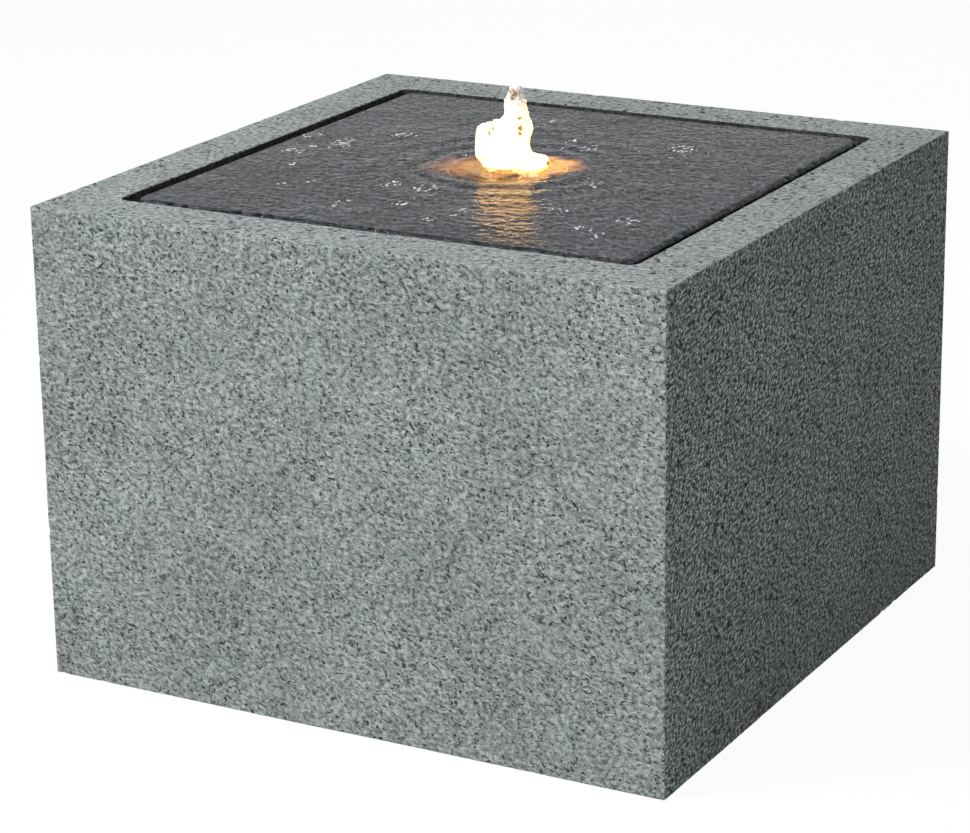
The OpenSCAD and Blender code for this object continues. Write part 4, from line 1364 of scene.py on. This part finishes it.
@dataclass
class CoverSlab:
    """The loose slab and the water that runs over it."""

    half: float = 0.159
    low: float = 0.253
    top: float = 0.283
    edge: float = 0.0035
    corner: float = 0.009
    bore: float = 0.035
    bore_edge: float = 0.0016
    film: float = 0.0015
    film_edge: float = 0.0002
    sunk: float = 0.0004

    def top_ring(self, inset: float, z: float, per_side: int) -> Points:
        """Returns the slab's outline, drawn in by an inset, at one height."""
        return at_height(rounded_square(self.half - inset, self.corner - inset, per_side, 8), z)

    def slab(self) -> tuple[Points, Faces]:
        """Builds the slab with rounded upper edges, a soft arris below and an eased bore.

        Returns:
            points and faces
        """
        side, eased = 60, self.bore_edge
        rings = [
            self.top_ring(inset, self.low + z, side) for inset, z in (
                (0.0009, 0.0), (0.0002, 0.0003), (0.0, 0.0010), (0.0, 0.004), (0.0, 0.010),
                (0.0, 0.017), (0.0, 0.0248),
            )
        ]
        for a in np.radians([15.0, 30.0, 45.0, 60.0, 75.0, 90.0]):
            inset, drop = self.edge * (1 - math.cos(a)), self.edge * (1 - math.sin(a))
            rings.append(self.top_ring(inset, self.top - drop, side))
        rim, ray = rings[-1][:, :2], rays(rings[-1])
        for s in np.linspace(0.0, 1.0, 34)[1:]:
            rings.append(at_height(rim * (1 - s) + ray * (self.bore + eased) * s, self.top))
        for a in np.radians([30.0, 60.0, 90.0]):
            out, drop = eased * (1 - math.sin(a)), eased * (1 - math.cos(a))
            rings.append(at_height(ray * (self.bore + out), self.top - drop))
        for out, z in ((0.0, 0.022), (0.0, 0.014), (0.0, 0.006), (0.0, 0.0006), (0.0006, 0.0)):
            rings.append(at_height(ray * (self.bore + out), self.low + z))
        points = np.concatenate(rings)
        rough_above, roughness = self.top - self.edge - 0.001, 0.00022
        for p in points:
            if p[2] > rough_above:
                spot = Vector(p)
                rough = 0.5 * (noise.noise(spot * 60.0) + 1.0)
                rough += 0.3 * (noise.noise(spot * 190.0) + 1.0)
                p[2] -= roughness * rough
        return points, band_faces(len(rings), len(rim), closed=True)

    def sheet_of_water(self) -> tuple[Points, Faces, Points]:
        """Builds the thin body of water, drawn down over the slab's rounded edge.

        Returns:
            points, faces and how freely each point may rise
        """
        centre = self.top - self.edge
        rings, crest = [], []

        def over_edge(angle: float, depth: float) -> Points:
            """Returns the outline at one angle round the edge, a depth above the stone."""
            reach = self.edge + depth
            height = centre + reach * math.sin(angle)
            return self.top_ring(self.edge - reach * math.cos(angle), height, 150)

        angles = np.radians(np.linspace(40.0, 90.0, 8))
        for a in angles:
            share = (a - angles[0]) / (angles[-1] - angles[0])
            deeper = (self.film - self.film_edge) * share * share * (3 - 2 * share)
            rings.append(over_edge(a, self.film_edge + deeper))
            crest.append(0.25 * max(0.0, share - 0.3))
        rim, ray = rings[-1][:, :2], rays(rings[-1])
        mouth = self.bore + 0.0001
        for s in np.linspace(0.0, 1.0, 100)[1:]:
            rings.append(at_height(rim * (1 - s) + ray * mouth * s, self.top + self.film))
            crest.append(min(1.0, 0.25 + s * 16.0, 0.02 + (1.0 - s) * 18.0))
        rings.append(at_height(ray * mouth, self.top + 0.0004))
        rings.append(at_height(ray * (self.bore + 0.0004), self.top - self.sunk))
        rings += [over_edge(a, -self.sunk) for a in angles[::-1]]
        crest += [0.0] * (len(rings) - len(crest))
        faces = band_faces(len(rings), len(rim), closed=True)
        return np.concatenate(rings), faces, np.repeat(crest, len(rim))

    def patches(self) -> tuple[Points, Faces]:
        """Builds small flat patches on the water, over which white bubbles are scattered as painted
        glints.

        Returns:
            points and faces
        """
        # painted glints: centres and half widths, in mm, of the patches where white bubbles stand
        # in for glints
        spots = np.array([
            (-122, 13, 8, 15), (-150, 24, 5, 7), (-141, -19, 3, 10), (-133, -10, 4, 12),
            (-100, -92, 2, 7), (-88, -78, 3, 4), (-121, -50, 2, 7), (-46, -115, 4, 10),
            (-42, -64, 6, 9), (-19, -64, 8, 8), (-14, -102, 5, 8), (-99, 48, 10, 6),
            (18, -125, 4, 4), (-33, 113, 3, 14), (21, 67, 5, 11), (3, 78, 5, 8), (66, -15, 4, 9),
            (73, -76, 8, 5), (103, -108, 7, 7), (26, -103, 3, 11), (118, -117, 3, 8),
            (119, -81, 8, 6), (72, 88, 10, 9),
        ]) * MM
        round_points = circle(10)
        count, level = len(round_points), self.top + self.film - 0.0001
        points = [at_height(spot[:2] + spot[2:] * round_points, level) for spot in spots]
        faces = [list(range(count * i, count * (i + 1))) for i in range(len(spots))]
        return np.concatenate(points), faces

    def build(self, paints: Box, ripples: Rule, drops: Rule) -> None:
        """Makes the slab and its water and dresses them.

        Args:
            paints: all finishes
            ripples: the tree that makes waves
            drops: the tree that scatters drops
        """
        slab = make_object("wet_slab", *self.slab(), paints["granite_wet"], 50.0)
        settle(slab, "cover", "granite_wet", "cover_slab")
        points, faces, crest = self.sheet_of_water()
        water = make_object("running_film", points, faces, paints["running_water"], 60.0)
        give_attribute(water, "crest", crest)
        ripples.run(
            water, Material=paints["running_water"], Ring_Height=0.0018, Wavelength=0.0200,
            Reach=0.030, Chop_Height=0.0010, Chop_Scale=190.0, Fine_Height=0.0007, Seed=4.0,
        )
        settle(water, "cover", "water", "water_film")
        # white bubbles scattered on the glint patches: painted highlights
        skin = paints["glint_bubble_skin"]
        bubbles = make_object("glint_bubbles", *self.patches(), skin, outward=False)
        drops.run(
            bubbles, Material=skin, Density=90000.0, Least=0.00018, Most=0.00062, Seed=5,
            Length=2.0, Height=0.6, Turn_From=0.1, Turn_To=1.0,
        )
        settle(bubbles, "cover", "water")


@dataclass
class FoamJet:
    """The lit jet of foam, the water that wells up round it and the drops on it."""

    base: float = 0.279
    top: float = 0.3339
    turn: float = JET_TURN
    well_inner: float = 0.0100
    well_outer: float = 0.0349
    well_level: float = 0.2845
    well_rise: float = 0.0016
    seed: int = 11

    def profile(self) -> Points:
        """Lists the jet's sections as height, left edge, right edge and half depth, in mm."""
        return np.array([
            (2.0, -10.0, 18.0, 8.0), (5.5, -12.5, 23.0, 9.6), (8.0, -14.5, 25.0, 10.0),
            (9.6, -15.3, 25.0, 9.6), (11.2, -16.6, 24.2, 8.8), (12.4, -17.6, 21.5, 8.8),
            (13.4, -18.6, 14.6, 10.0), (17.6, -18.9, 13.2, 12.0), (24.2, -18.5, 13.5, 12.5),
            (28.5, -17.7, 15.1, 12.0), (30.4, -16.9, 15.1, 11.0), (31.2, -15.9, 14.9, 10.0),
            (32.0, -6.2, 14.6, 8.5), (34.5, -3.4, 13.7, 7.6), (37.3, -1.4, 12.6, 6.8),
            (40.6, -1.2, 12.0, 6.6), (44.8, -1.3, 11.3, 6.2), (49.1, 0.2, 10.5, 5.2),
            (52.0, 1.3, 9.7, 4.3), (55.0, 3.4, 7.4, 2.2),
        ])

    def dots(self) -> tuple[Points, Points]:
        """Spreads round lumps of foam through the jet's sections.

        Returns:
            places in metres and radii in metres
        """
        chance = np.random.default_rng(self.seed)
        table = self.profile()
        places, sizes = [], []
        level_step, least, most, most_inside = 1.0, 1.1, 2.6, 2.4
        packing, wander, smallest = 0.85, 0.35, 0.8

        def edges(z: float) -> list[float]:
            """Returns the left edge, the right edge and the half depth at one height."""
            return [np.interp(z, table[:, 0], table[:, k]) for k in (1, 2, 3)]

        def kept_in(x: float, z: float, size: float) -> float:
            """Returns a lump's radius, made smaller until it stays within the outline above it."""
            while size > smallest:
                left, right, _ = edges(z + 0.85 * size)
                within = left <= x - 0.25 * size and x + 0.25 * size <= right
                if within and z + 0.7 * size <= table[-1, 0]:
                    break
                size *= 0.85
            return size

        for z in np.arange(table[0, 0], table[-1, 0] - 0.6, level_step):
            left, right, deep = edges(z)
            middle, half = (left + right) / 2, (right - left) / 2
            size = min(max(0.34 * min(half, deep), least), most)
            count = max(6, int(math.pi * (half + deep - 2 * size) / (packing * size)))
            for k in range(count):
                a = FULL_TURN * (k + chance.uniform(-wander, wander)) / count
                lump = size * chance.uniform(0.75, 1.05)
                x, y = middle + (half - lump) * math.cos(a), (deep - lump) * math.sin(a)
                places.append((x, y, z))
                sizes.append(kept_in(x, z, lump))
            for share in (0.72, 0.45, 0.18):
                around = max(4, int(FULL_TURN * share * max(half, deep) / 3.0))
                for k in range(around):
                    a = FULL_TURN * (k + 0.5 * share) / around
                    x, y = middle + share * half * math.cos(a), share * deep * math.sin(a)
                    places.append((x, y, z))
                    lump = min(most_inside, (1.02 - share) * min(half, deep))
                    sizes.append(kept_in(x, z, lump))
        for *place, size in (
            (-7.4, -3.0, 32.2, 1.5), (-7.5, -3.2, 33.6, 1.1), (-7.2, -3.2, 34.6, 0.9),
            (13.8, -2.0, 29.6, 1.6), (5.4, 0.0, 53.8, 0.8),
        ):
            places.append(tuple(place))
            sizes.append(size)
        places, sizes = np.array(places), np.array(sizes)
        places[:, 2] = np.maximum(places[:, 2], sizes + 0.6)
        places = turned(places, self.turn)
        places[:, 2] += self.base * 1000.0
        return places * MM, sizes * MM

    def thin_spots(self) -> Points:
        """Lists places where the foam is thin, as x, y, z and reach in mm before the turn."""
        return np.array([
            (4.4, -4.0, 51.2, 2.5), (3.2, -4.5, 48.4, 1.3), (-8.4, -6.0, 31.0, 2.2),
            (-10.2, -9.0, 28.8, 1.6), (7.6, -8.0, 31.2, 2.0), (7.2, -9.0, 28.2, 1.5),
            (7.2, -6.0, 36.8, 1.3), (1.2, -8.0, 31.6, 1.1), (-15.8, -9.0, 12.6, 1.9),
            (-13.2, -12.0, 13.6, 1.2), (13.2, -6.0, 23.4, 1.5), (14.6, -6.0, 19.0, 1.3),
            (-18.0, -3.0, 9.0, 2.6), (24.6, -4.0, 8.6, 2.4), (-15.6, -9.0, 6.4, 2.6),
            (21.0, -13.0, 6.2, 2.2),
        ])

    def density(self, points: Points) -> Points:
        """Works out how dense the foam is at each point of its skin.

        Args:
            points: the skin's points, in metres

        Returns:
            numbers from nought to one
        """
        local = turned((points - np.array([0.0, 0.0, self.base])) * 1000.0, -self.turn)
        dense = np.ones(len(points))
        for spot in self.thin_spots():
            gap = np.linalg.norm((local - spot[:3]) * (1.0, 0.45, 1.0), axis=1)
            gap *= 1.0 + 0.35 * np.sin(2.1 * local[:, 0] + spot[2]) * np.cos(1.7 * local[:, 2])
            share = (gap - spot[3] * 0.5) / (spot[3] * 0.8)
            dense = np.minimum(dense, np.clip(share, 0.0, 1.0))
        return dense

    def lit_share(self, points: Points) -> Points:
        """Works out how strongly each point's painted glow shows: fully at the foot, weakly at the
        top.
        """
        above, dark_at, fade = (points[:, 2] - self.base) * 1000.0, 50.0, 24.0
        return np.clip((dark_at - above) / fade, 0.0, 1.0)

    def well(self) -> tuple[Points, Faces, Points]:
        """Builds the ring of water that wells up between the jet and the bore.

        Returns:
            points, faces and how freely each point may rise
        """
        inner, outer, low = self.well_inner, self.well_outer, self.base + 0.0003
        outline = [(outer, low, 0.0), (outer, self.well_level - 0.0002, 0.0)]
        for r in np.linspace(outer - 0.0002, inner, 26):
            share = (outer - r) / (outer - inner)
            level = self.well_level + self.well_rise * share * share
            outline.append((r, level, min(1.0, 0.02 + 4.0 * share)))
        outline.append((inner, low, 0.0))
        ray = circle(180)
        rings = [at_height(ray * r, z) for r, z, _ in outline]
        crest = np.repeat([c for _, _, c in outline], len(ray))
        return np.concatenate(rings), band_faces(len(rings), len(ray), closed=True), crest

    def build(self, paints: Box, froth: Rule, ripples: Rule, drops: Rule) -> None:
        """Makes the jet's pieces and dresses them.

        Args:
            paints: all finishes
            froth: the tree that melts lumps together
            ripples: the tree that makes waves
            drops: the tree that scatters drops
        """
        places, sizes = self.dots()
        jet = make_object("foam_jet", places, [], paints["lit_foam"], outward=False)
        give_attribute(jet, "size", sizes)
        froth.run(
            jet, Material=paints["lit_foam"], Voxel=0.0005, Lump_Height=0.0012, Lump_Scale=300.0,
            Fine_Height=0.0006, Seed=2.0,
        )
        keep_below(jet, self.top)
        skin = np.array([v.co for v in jet.data.vertices])
        give_attribute(jet, "dense", self.density(skin))
        give_attribute(jet, "lit_share", self.lit_share(skin))
        settle(jet, "block", "foam_water", "water_jet")

        spray = show("spray_drops", jet.data.copy())
        drops.run(spray, Material=paints["lit_drops"], Density=50000.0, Least=0.00025,
                  Most=0.0008, Seed=3)
        keep_below(spray, self.top)
        # the drops get a painted glow at full strength
        give_attribute(spray, "dense", np.full(len(spray.data.vertices), 0.9))
        give_attribute(spray, "lit_share", np.ones(len(spray.data.vertices)))
        settle(spray, "block", "foam_water")

        points, faces, crest = self.well()
        well = make_object("welling_ring", points, faces, paints["welling_water"], 60.0)
        give_attribute(well, "crest", crest)
        ripples.run(
            well, Material=paints["welling_water"], Ring_Height=0.0008, Wavelength=0.0110,
            Reach=0.060, Chop_Height=0.0014, Chop_Scale=130.0, Fine_Height=0.0006, Seed=9.0,
        )
        settle(well, "block", "water")


@dataclass
class RingLight:
    """The ring of diodes below the lens, on its board in its housing."""

    level: float = 0.2672
    circle: float = 0.02055
    count: int = 8
    side: float = 0.0050
    height: float = 0.0016

    def package(self, paint: bpy.types.Material) -> bpy.types.Object:
        """Builds one diode's body: a bevelled block with a sunk round cup."""
        rings = []
        for inset, z in ((0.0, 0.0), (0.0, 0.7), (0.00024, 0.78), (0.0004, 0.8)):
            flat = rounded_square(self.side / 2 - inset, 0.0004, 4, 2)
            rings.append(at_height(flat, z * self.height))
        ray = rays(rings[-1])
        for radius, z in ((0.0021, 0.8), (0.0019, 0.45), (0.00001, 0.45)):
            rings.append(at_height(ray * radius, z * self.height))
        points, faces = capped(rings)
        points = points + np.array([self.circle, 0.0, 0.0])
        return make_object("diode_bodies", points, faces, paint, 30.0)

    def dome(self, paint: bpy.types.Material) -> bpy.types.Object:
        """Builds one diode's domed lens of lit phosphor."""
        ray = circle(20) * 0.0018
        points, faces = capped([
            at_height(ray * math.cos(a), self.height * (0.46 + 0.52 * math.sin(a)))
            for a in np.radians([0.0, 22.0, 45.0, 65.0, 82.0])
        ])
        points = points + np.array([self.circle, 0.0, 0.0])
        return make_object("diode_domes", points, faces, paint, 50.0)

    def build(self, paints: Box, ring: Rule) -> None:
        """Makes the diodes and dresses the ring light.

        Args:
            paints: all finishes
            ring: the tree that turns copies round
        """
        white, lit, place = paints["white_plastic"], paints["lit_diode"], (0.0, 0.0, self.level)
        bodies = ring.run(self.package(white), Material=white, Count=self.count, Place=place)
        settle(bodies, "block", "plastic_white", "led_chips")
        domes = ring.run(self.dome(lit), Material=lit, Count=self.count, Place=place)
        settle(domes, "block", "diode")
        dress(
            paints,
            black_plastic=["led_housing", "nozzle_sleeve"],
            white_lacquer=["led_board"],
            clear_lens=["led_lens"],
            grey_plastic=["nozzle_jet", "riser_pipe", "outlet_union", "lead_clips"],
        )


@dataclass
class Pump:
    """The submerged pump with its motor, rotor, scroll and intake."""

    axis: tuple[float, float, float] = (-0.015, -0.002, 0.076)
    stator_start: float = -0.038
    stator_length: float = 0.018
    tooth: float = 0.0045
    teeth: int = 6
    coil_inner: float = 0.0126
    coil_outer: float = 0.0162
    coil_gap: float = 0.0003
    layers: int = 3
    wire: float = 0.00034
    foam_corner: float = 0.0076
    foam_spare: float = 0.00045

    def winding(self) -> bpy.types.Object:
        """Builds the path of the wire round one tooth, layer over layer.

        Returns:
            the path
        """
        step = self.wire * 2.05
        turns = int((self.coil_outer - self.coil_inner - 2 * self.wire) / step)
        middle = self.stator_start + self.stator_length / 2
        half_w, half_l = self.tooth / 2, self.stator_length / 2
        corners = ((1, -1, -90), (1, 1, 0), (-1, 1, 90), (-1, -1, 180))
        path = []
        for layer in range(self.layers):
            out = self.coil_gap + self.wire + layer * step
            outline = []
            for sx, sz, start in corners:
                for a in np.radians(start + np.linspace(0.0, 90.0, 5)):
                    w, along = sx * half_w + out * math.cos(a), sz * half_l + out * math.sin(a)
                    outline.append((w, along))
            direction = 1 if layer % 2 == 0 else -1
            for turn in range(turns)[::direction]:
                for k, (w, along) in enumerate(outline):
                    share = k / len(outline) * direction
                    passed = turn + 0.5 * (1 - direction) + share
                    path.append((self.coil_inner + self.wire + passed * step, w, middle + along))
        return line_object("coil_windings", np.array(path))

    def foam_block(self, paint: bpy.types.Material) -> bpy.types.Object:
        """Builds the filter foam as a soft block with sunk pores.

        Args:
            paint: its finish

        Returns:
            the piece
        """
        low, high = (np.array(c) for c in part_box("filter_foam"))
        middle, half = (low + high) / 2, (high - low) / 2 - self.foam_spare
        ends = np.linspace(0.02, 0.97, 26)
        stations = [(shrink, -half[1]) for shrink in ends]
        for d in np.linspace(-1.0, 1.0, 9):
            stations.append((1.0 - 0.016 * abs(d) ** 4, d * half[1] * 0.985))
        stations += [(shrink, half[1]) for shrink in np.linspace(0.97, 0.02, 26)]
        flat = rounded_square(half[0], self.foam_corner, 34, 7)
        rings = []
        for shrink, y in stations:
            ring = flat * np.array([shrink, shrink * half[2] / half[0]])
            rings.append(np.column_stack([ring[:, 0], np.full(len(ring), y), ring[:, 1]]))
        points, faces = capped(rings)
        deepest, depth, pore_size = 0.0005, 0.0016, 0.42
        for p in points:
            away = noise.voronoi(Vector(p) * 420.0)[0][0]
            p[1] -= math.copysign(min(deepest, max(0.0, pore_size - away) * depth), p[1])
        return make_object("filter_foam_block", points + middle, faces, paint, 70.0)

    def build(self, paints: Box, ring: Rule, wire: Rule) -> None:
        """Makes the windings and the foam, and dresses the pump.

        Args:
            paints: all finishes
            ring: the tree that turns copies round
            wire: the tree that draws a wire
        """
        copper = paints["enamelled_copper"]
        coil = wire.run(self.winding(), Material=copper, Radius=self.wire, Sides=6)
        ring.run(coil, Material=copper, Count=self.teeth, Place=self.axis,
                 Turn=(math.radians(90.0), 0.0, 0.0))
        settle(coil, "block", "copper_wire", "stator_coils")
        settle(self.foam_block(paints["blue_foam"]), "cage", "foam_blue", "filter_foam")
        dress(
            paints,
            black_plastic=["pump_base", "pump_housing", "motor_end_cap", "strainer_cage"],
            grey_plastic=["volute"],
            black_rubber=["suction_feet", "riser_seal", "volute_seal", "rear_bush", "front_bush"],
            laminated_steel=["stator_core"],
            green_lacquer=["driver_board"],
            stainless_steel=["pump_screws"],
            ferrite=["rotor_magnet"],
            white_plastic=["impeller"],
            white_ceramic=["rotor_shaft"],
            blue_plastic=["flow_dial"],
        )


@dataclass
class PowerInlet:
    """The low-voltage inlet in the back wall and the leads that run to it."""

    x: float = 0.040
    z: float = 0.080
    barrel: float = 0.0085
    thread_start: float = 0.1512
    thread_end: float = 0.1576
    pitch: float = 0.0015
    crest: float = 0.0004
    lead: float = 0.0020

    def thread(self) -> bpy.types.Object:
        """Builds the path of the thread on the barrel's free end."""
        turns = (self.thread_end - self.thread_start) / self.pitch
        a = np.linspace(0.0, FULL_TURN * turns, int(turns * 40))
        y = np.linspace(self.thread_start, self.thread_end, len(a))
        x, z = self.x + self.barrel * np.cos(a), self.z + self.barrel * np.sin(a)
        return line_object("inlet_thread", np.column_stack([x, y, z]))

    def route(self, points: Sequence[Sequence[float]]) -> Points:
        """Rounds a lead's route: straight half runs joined by arcs.

        Args:
            points: the route's corners, in millimetres

        Returns:
            closely spaced points, in metres
        """
        corners = np.array(points, float)
        path = [corners[0]]
        for i in range(1, len(corners) - 1):
            a, b = (corners[i - 1] + corners[i]) / 2, (corners[i] + corners[i + 1]) / 2
            for t in np.linspace(0.0, 1.0, 13)[(0 if i == 1 else 1):]:
                path.append((1 - t) ** 2 * a + 2 * t * (1 - t) * corners[i] + t * t * b)
        path.append(corners[-1])
        return np.array(path) * MM

    def build(self, paints: Box, wire: Rule) -> None:
        """Makes the thread and the leads, and dresses the inlet.

        Args:
            paints: all finishes
            wire: the tree that draws a wire
        """
        black, sheath = paints["black_plastic"], paints["lead_sheath"]
        thread = wire.run(self.thread(), Material=black, Radius=self.crest, Sides=6)
        settle(thread, "block", "plastic_black")
        ring_light = [
            (0, 21, 262), (0, 21, 247), (0, 12, 231), (0, 12, 209), (0, 12, 169), (0, 12, 144),
            (4, 21, 112), (16, 70, 112), (30, 105.3, 100), (44, 119.9, 80), (44, 155, 80),
        ]
        motor = [
            (-15, 59, 76), (-15, 83.8, 76), (-10.05, 104.4, 61.6), (20, 112.2, 60),
            (36, 124.2, 80), (36, 155, 80),
        ]
        for name, node, points in (
            ("ring_light_lead", "led_lead", ring_light), ("motor_lead", "pump_lead", motor),
        ):
            path = line_object(name, self.route(points))
            lead = wire.run(path, Material=sheath, Radius=self.lead, Sides=20)
            settle(lead, "block", "rubber_black", node)
        dress(paints, black_plastic=["inlet_socket"], brass=["inlet_pins"],
              black_rubber=["inlet_seal"], grey_plastic=["inlet_nut"])


@dataclass
class Studio:
    """Floor, surroundings, lamps and camera."""

    floor_half: float = 6.0
    floor_glow: float = 1.05
    floor_share: float = 0.9
    world_light: float = 0.10
    key_power: float = 58.0
    back_power: float = 9.0
    fill_power: float = 15.0
    azimuth: float = 28.925
    elevation: float = 17.99
    roll: float = -0.80
    stand: tuple[float, float, float] = (0.88675, -1.63639, 0.73485)
    lens: float = 120.1

    def floor(self) -> None:
        """Lays the pale floor, white to the camera apart from the object's shadow."""
        points = self.floor_half * np.array([(-1, -1, 0), (1, -1, 0), (1, 1, 0), (-1, 1, 0)])
        f = Finish("studio_floor")
        tone = f.ramp(f.noise(1.5, 2.0, 0.5), (0.3, grey(0.60)), (0.7, grey(0.63)))
        f.surface(base_color=tone, roughness=0.9, specular_ior_level=0.0)
        glow = f.join(f.add("ShaderNodeEmission"), Strength=self.floor_glow)
        paint = f.blend_in(f.times(f.seen_directly(), self.floor_share), glow)
        make_object("floor", points, [[0, 1, 2, 3]], paint, outward=False)

    def surroundings(self) -> None:
        """Sets a white background and an even soft light."""
        world = bpy.data.worlds.new("studio")
        world.use_nodes = True
        bpy.context.scene.world = world
        g = Graph(world.node_tree)
        level = g.math("MAXIMUM", g.seen_directly(), self.world_light)
        sky = g.join(g.add("ShaderNodeBackground"), (1.0, 1.0, 1.0, 1.0), level)
        g.join(g.add("ShaderNodeOutputWorld"), sky.outputs[0])

    def lamp(self, name: str, place: Sequence[float], size: float, power: float) -> None:
        """Hangs one soft white lamp that points at the block.

        Args:
            name: the lamp's name
            place: where it hangs
            size: its width
            power: its power
        """
        data = bpy.data.lights.new(name, "AREA")
        data.shape, data.size, data.energy = "DISK", size, power
        lamp = show(name, data)
        lamp.location = place
        aim = Vector((0.0, 0.0, 0.15)) - Vector(place)
        lamp.rotation_mode = "QUATERNION"
        lamp.rotation_quaternion = aim.to_track_quat("-Z", "Y")

    def camera(self) -> None:
        """Stands the camera at the photograph's place and angle."""
        azimuth, elevation, roll = map(math.radians, (self.azimuth, self.elevation, self.roll))
        flat = math.cos(elevation)
        back = Vector((math.sin(azimuth) * flat, -math.cos(azimuth) * flat, math.sin(elevation)))
        right = Vector((math.cos(azimuth), math.sin(azimuth), 0.0))
        up = back.cross(right)
        tilted_right = math.cos(roll) * right + math.sin(roll) * up
        tilted_up = -math.sin(roll) * right + math.cos(roll) * up
        data = bpy.data.cameras.new("photo_camera")
        data.sensor_width, data.lens = 36.0, self.lens
        data.clip_start, data.clip_end = 0.05, 50.0
        camera = show("photo_camera", data)
        turn = Matrix((tilted_right, tilted_up, back)).transposed().to_4x4()
        camera.matrix_world = Matrix.Translation(self.stand) @ turn
        bpy.context.scene.camera = camera

    def build(self) -> None:
        """Sets the whole studio up."""
        self.floor()
        self.surroundings()
        self.lamp("key_softbox", (-0.96, -1.30, 2.18), 0.9, self.key_power)
        self.lamp("back_softbox", (-0.8, 2.0, 1.75), 0.4, self.back_power)
        self.lamp("side_fill", (1.1, -1.9, 1.1), 0.6, self.fill_power)
        self.camera()
        bpy.context.scene.view_settings.view_transform = "Standard"


def main() -> None:
    """Builds every class in order."""
    logging.basicConfig(level=logging.INFO, format="%(message)s")
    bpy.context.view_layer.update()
    Studio().build()
    paints = Box()
    ripples, froth, drops = ripple_rule(), froth_rule(), scatter_rule()
    ring, wire = ring_rule(), wire_rule()
    StoneBlock().build(paints)
    CoverSlab().build(paints, ripples, drops)
    FoamJet().build(paints, froth, ripples, drops)
    RingLight().build(paints, ring)
    Pump().build(paints, ring, wire)
    PowerInlet().build(paints, wire)


if __name__ == "__main__":
    main()
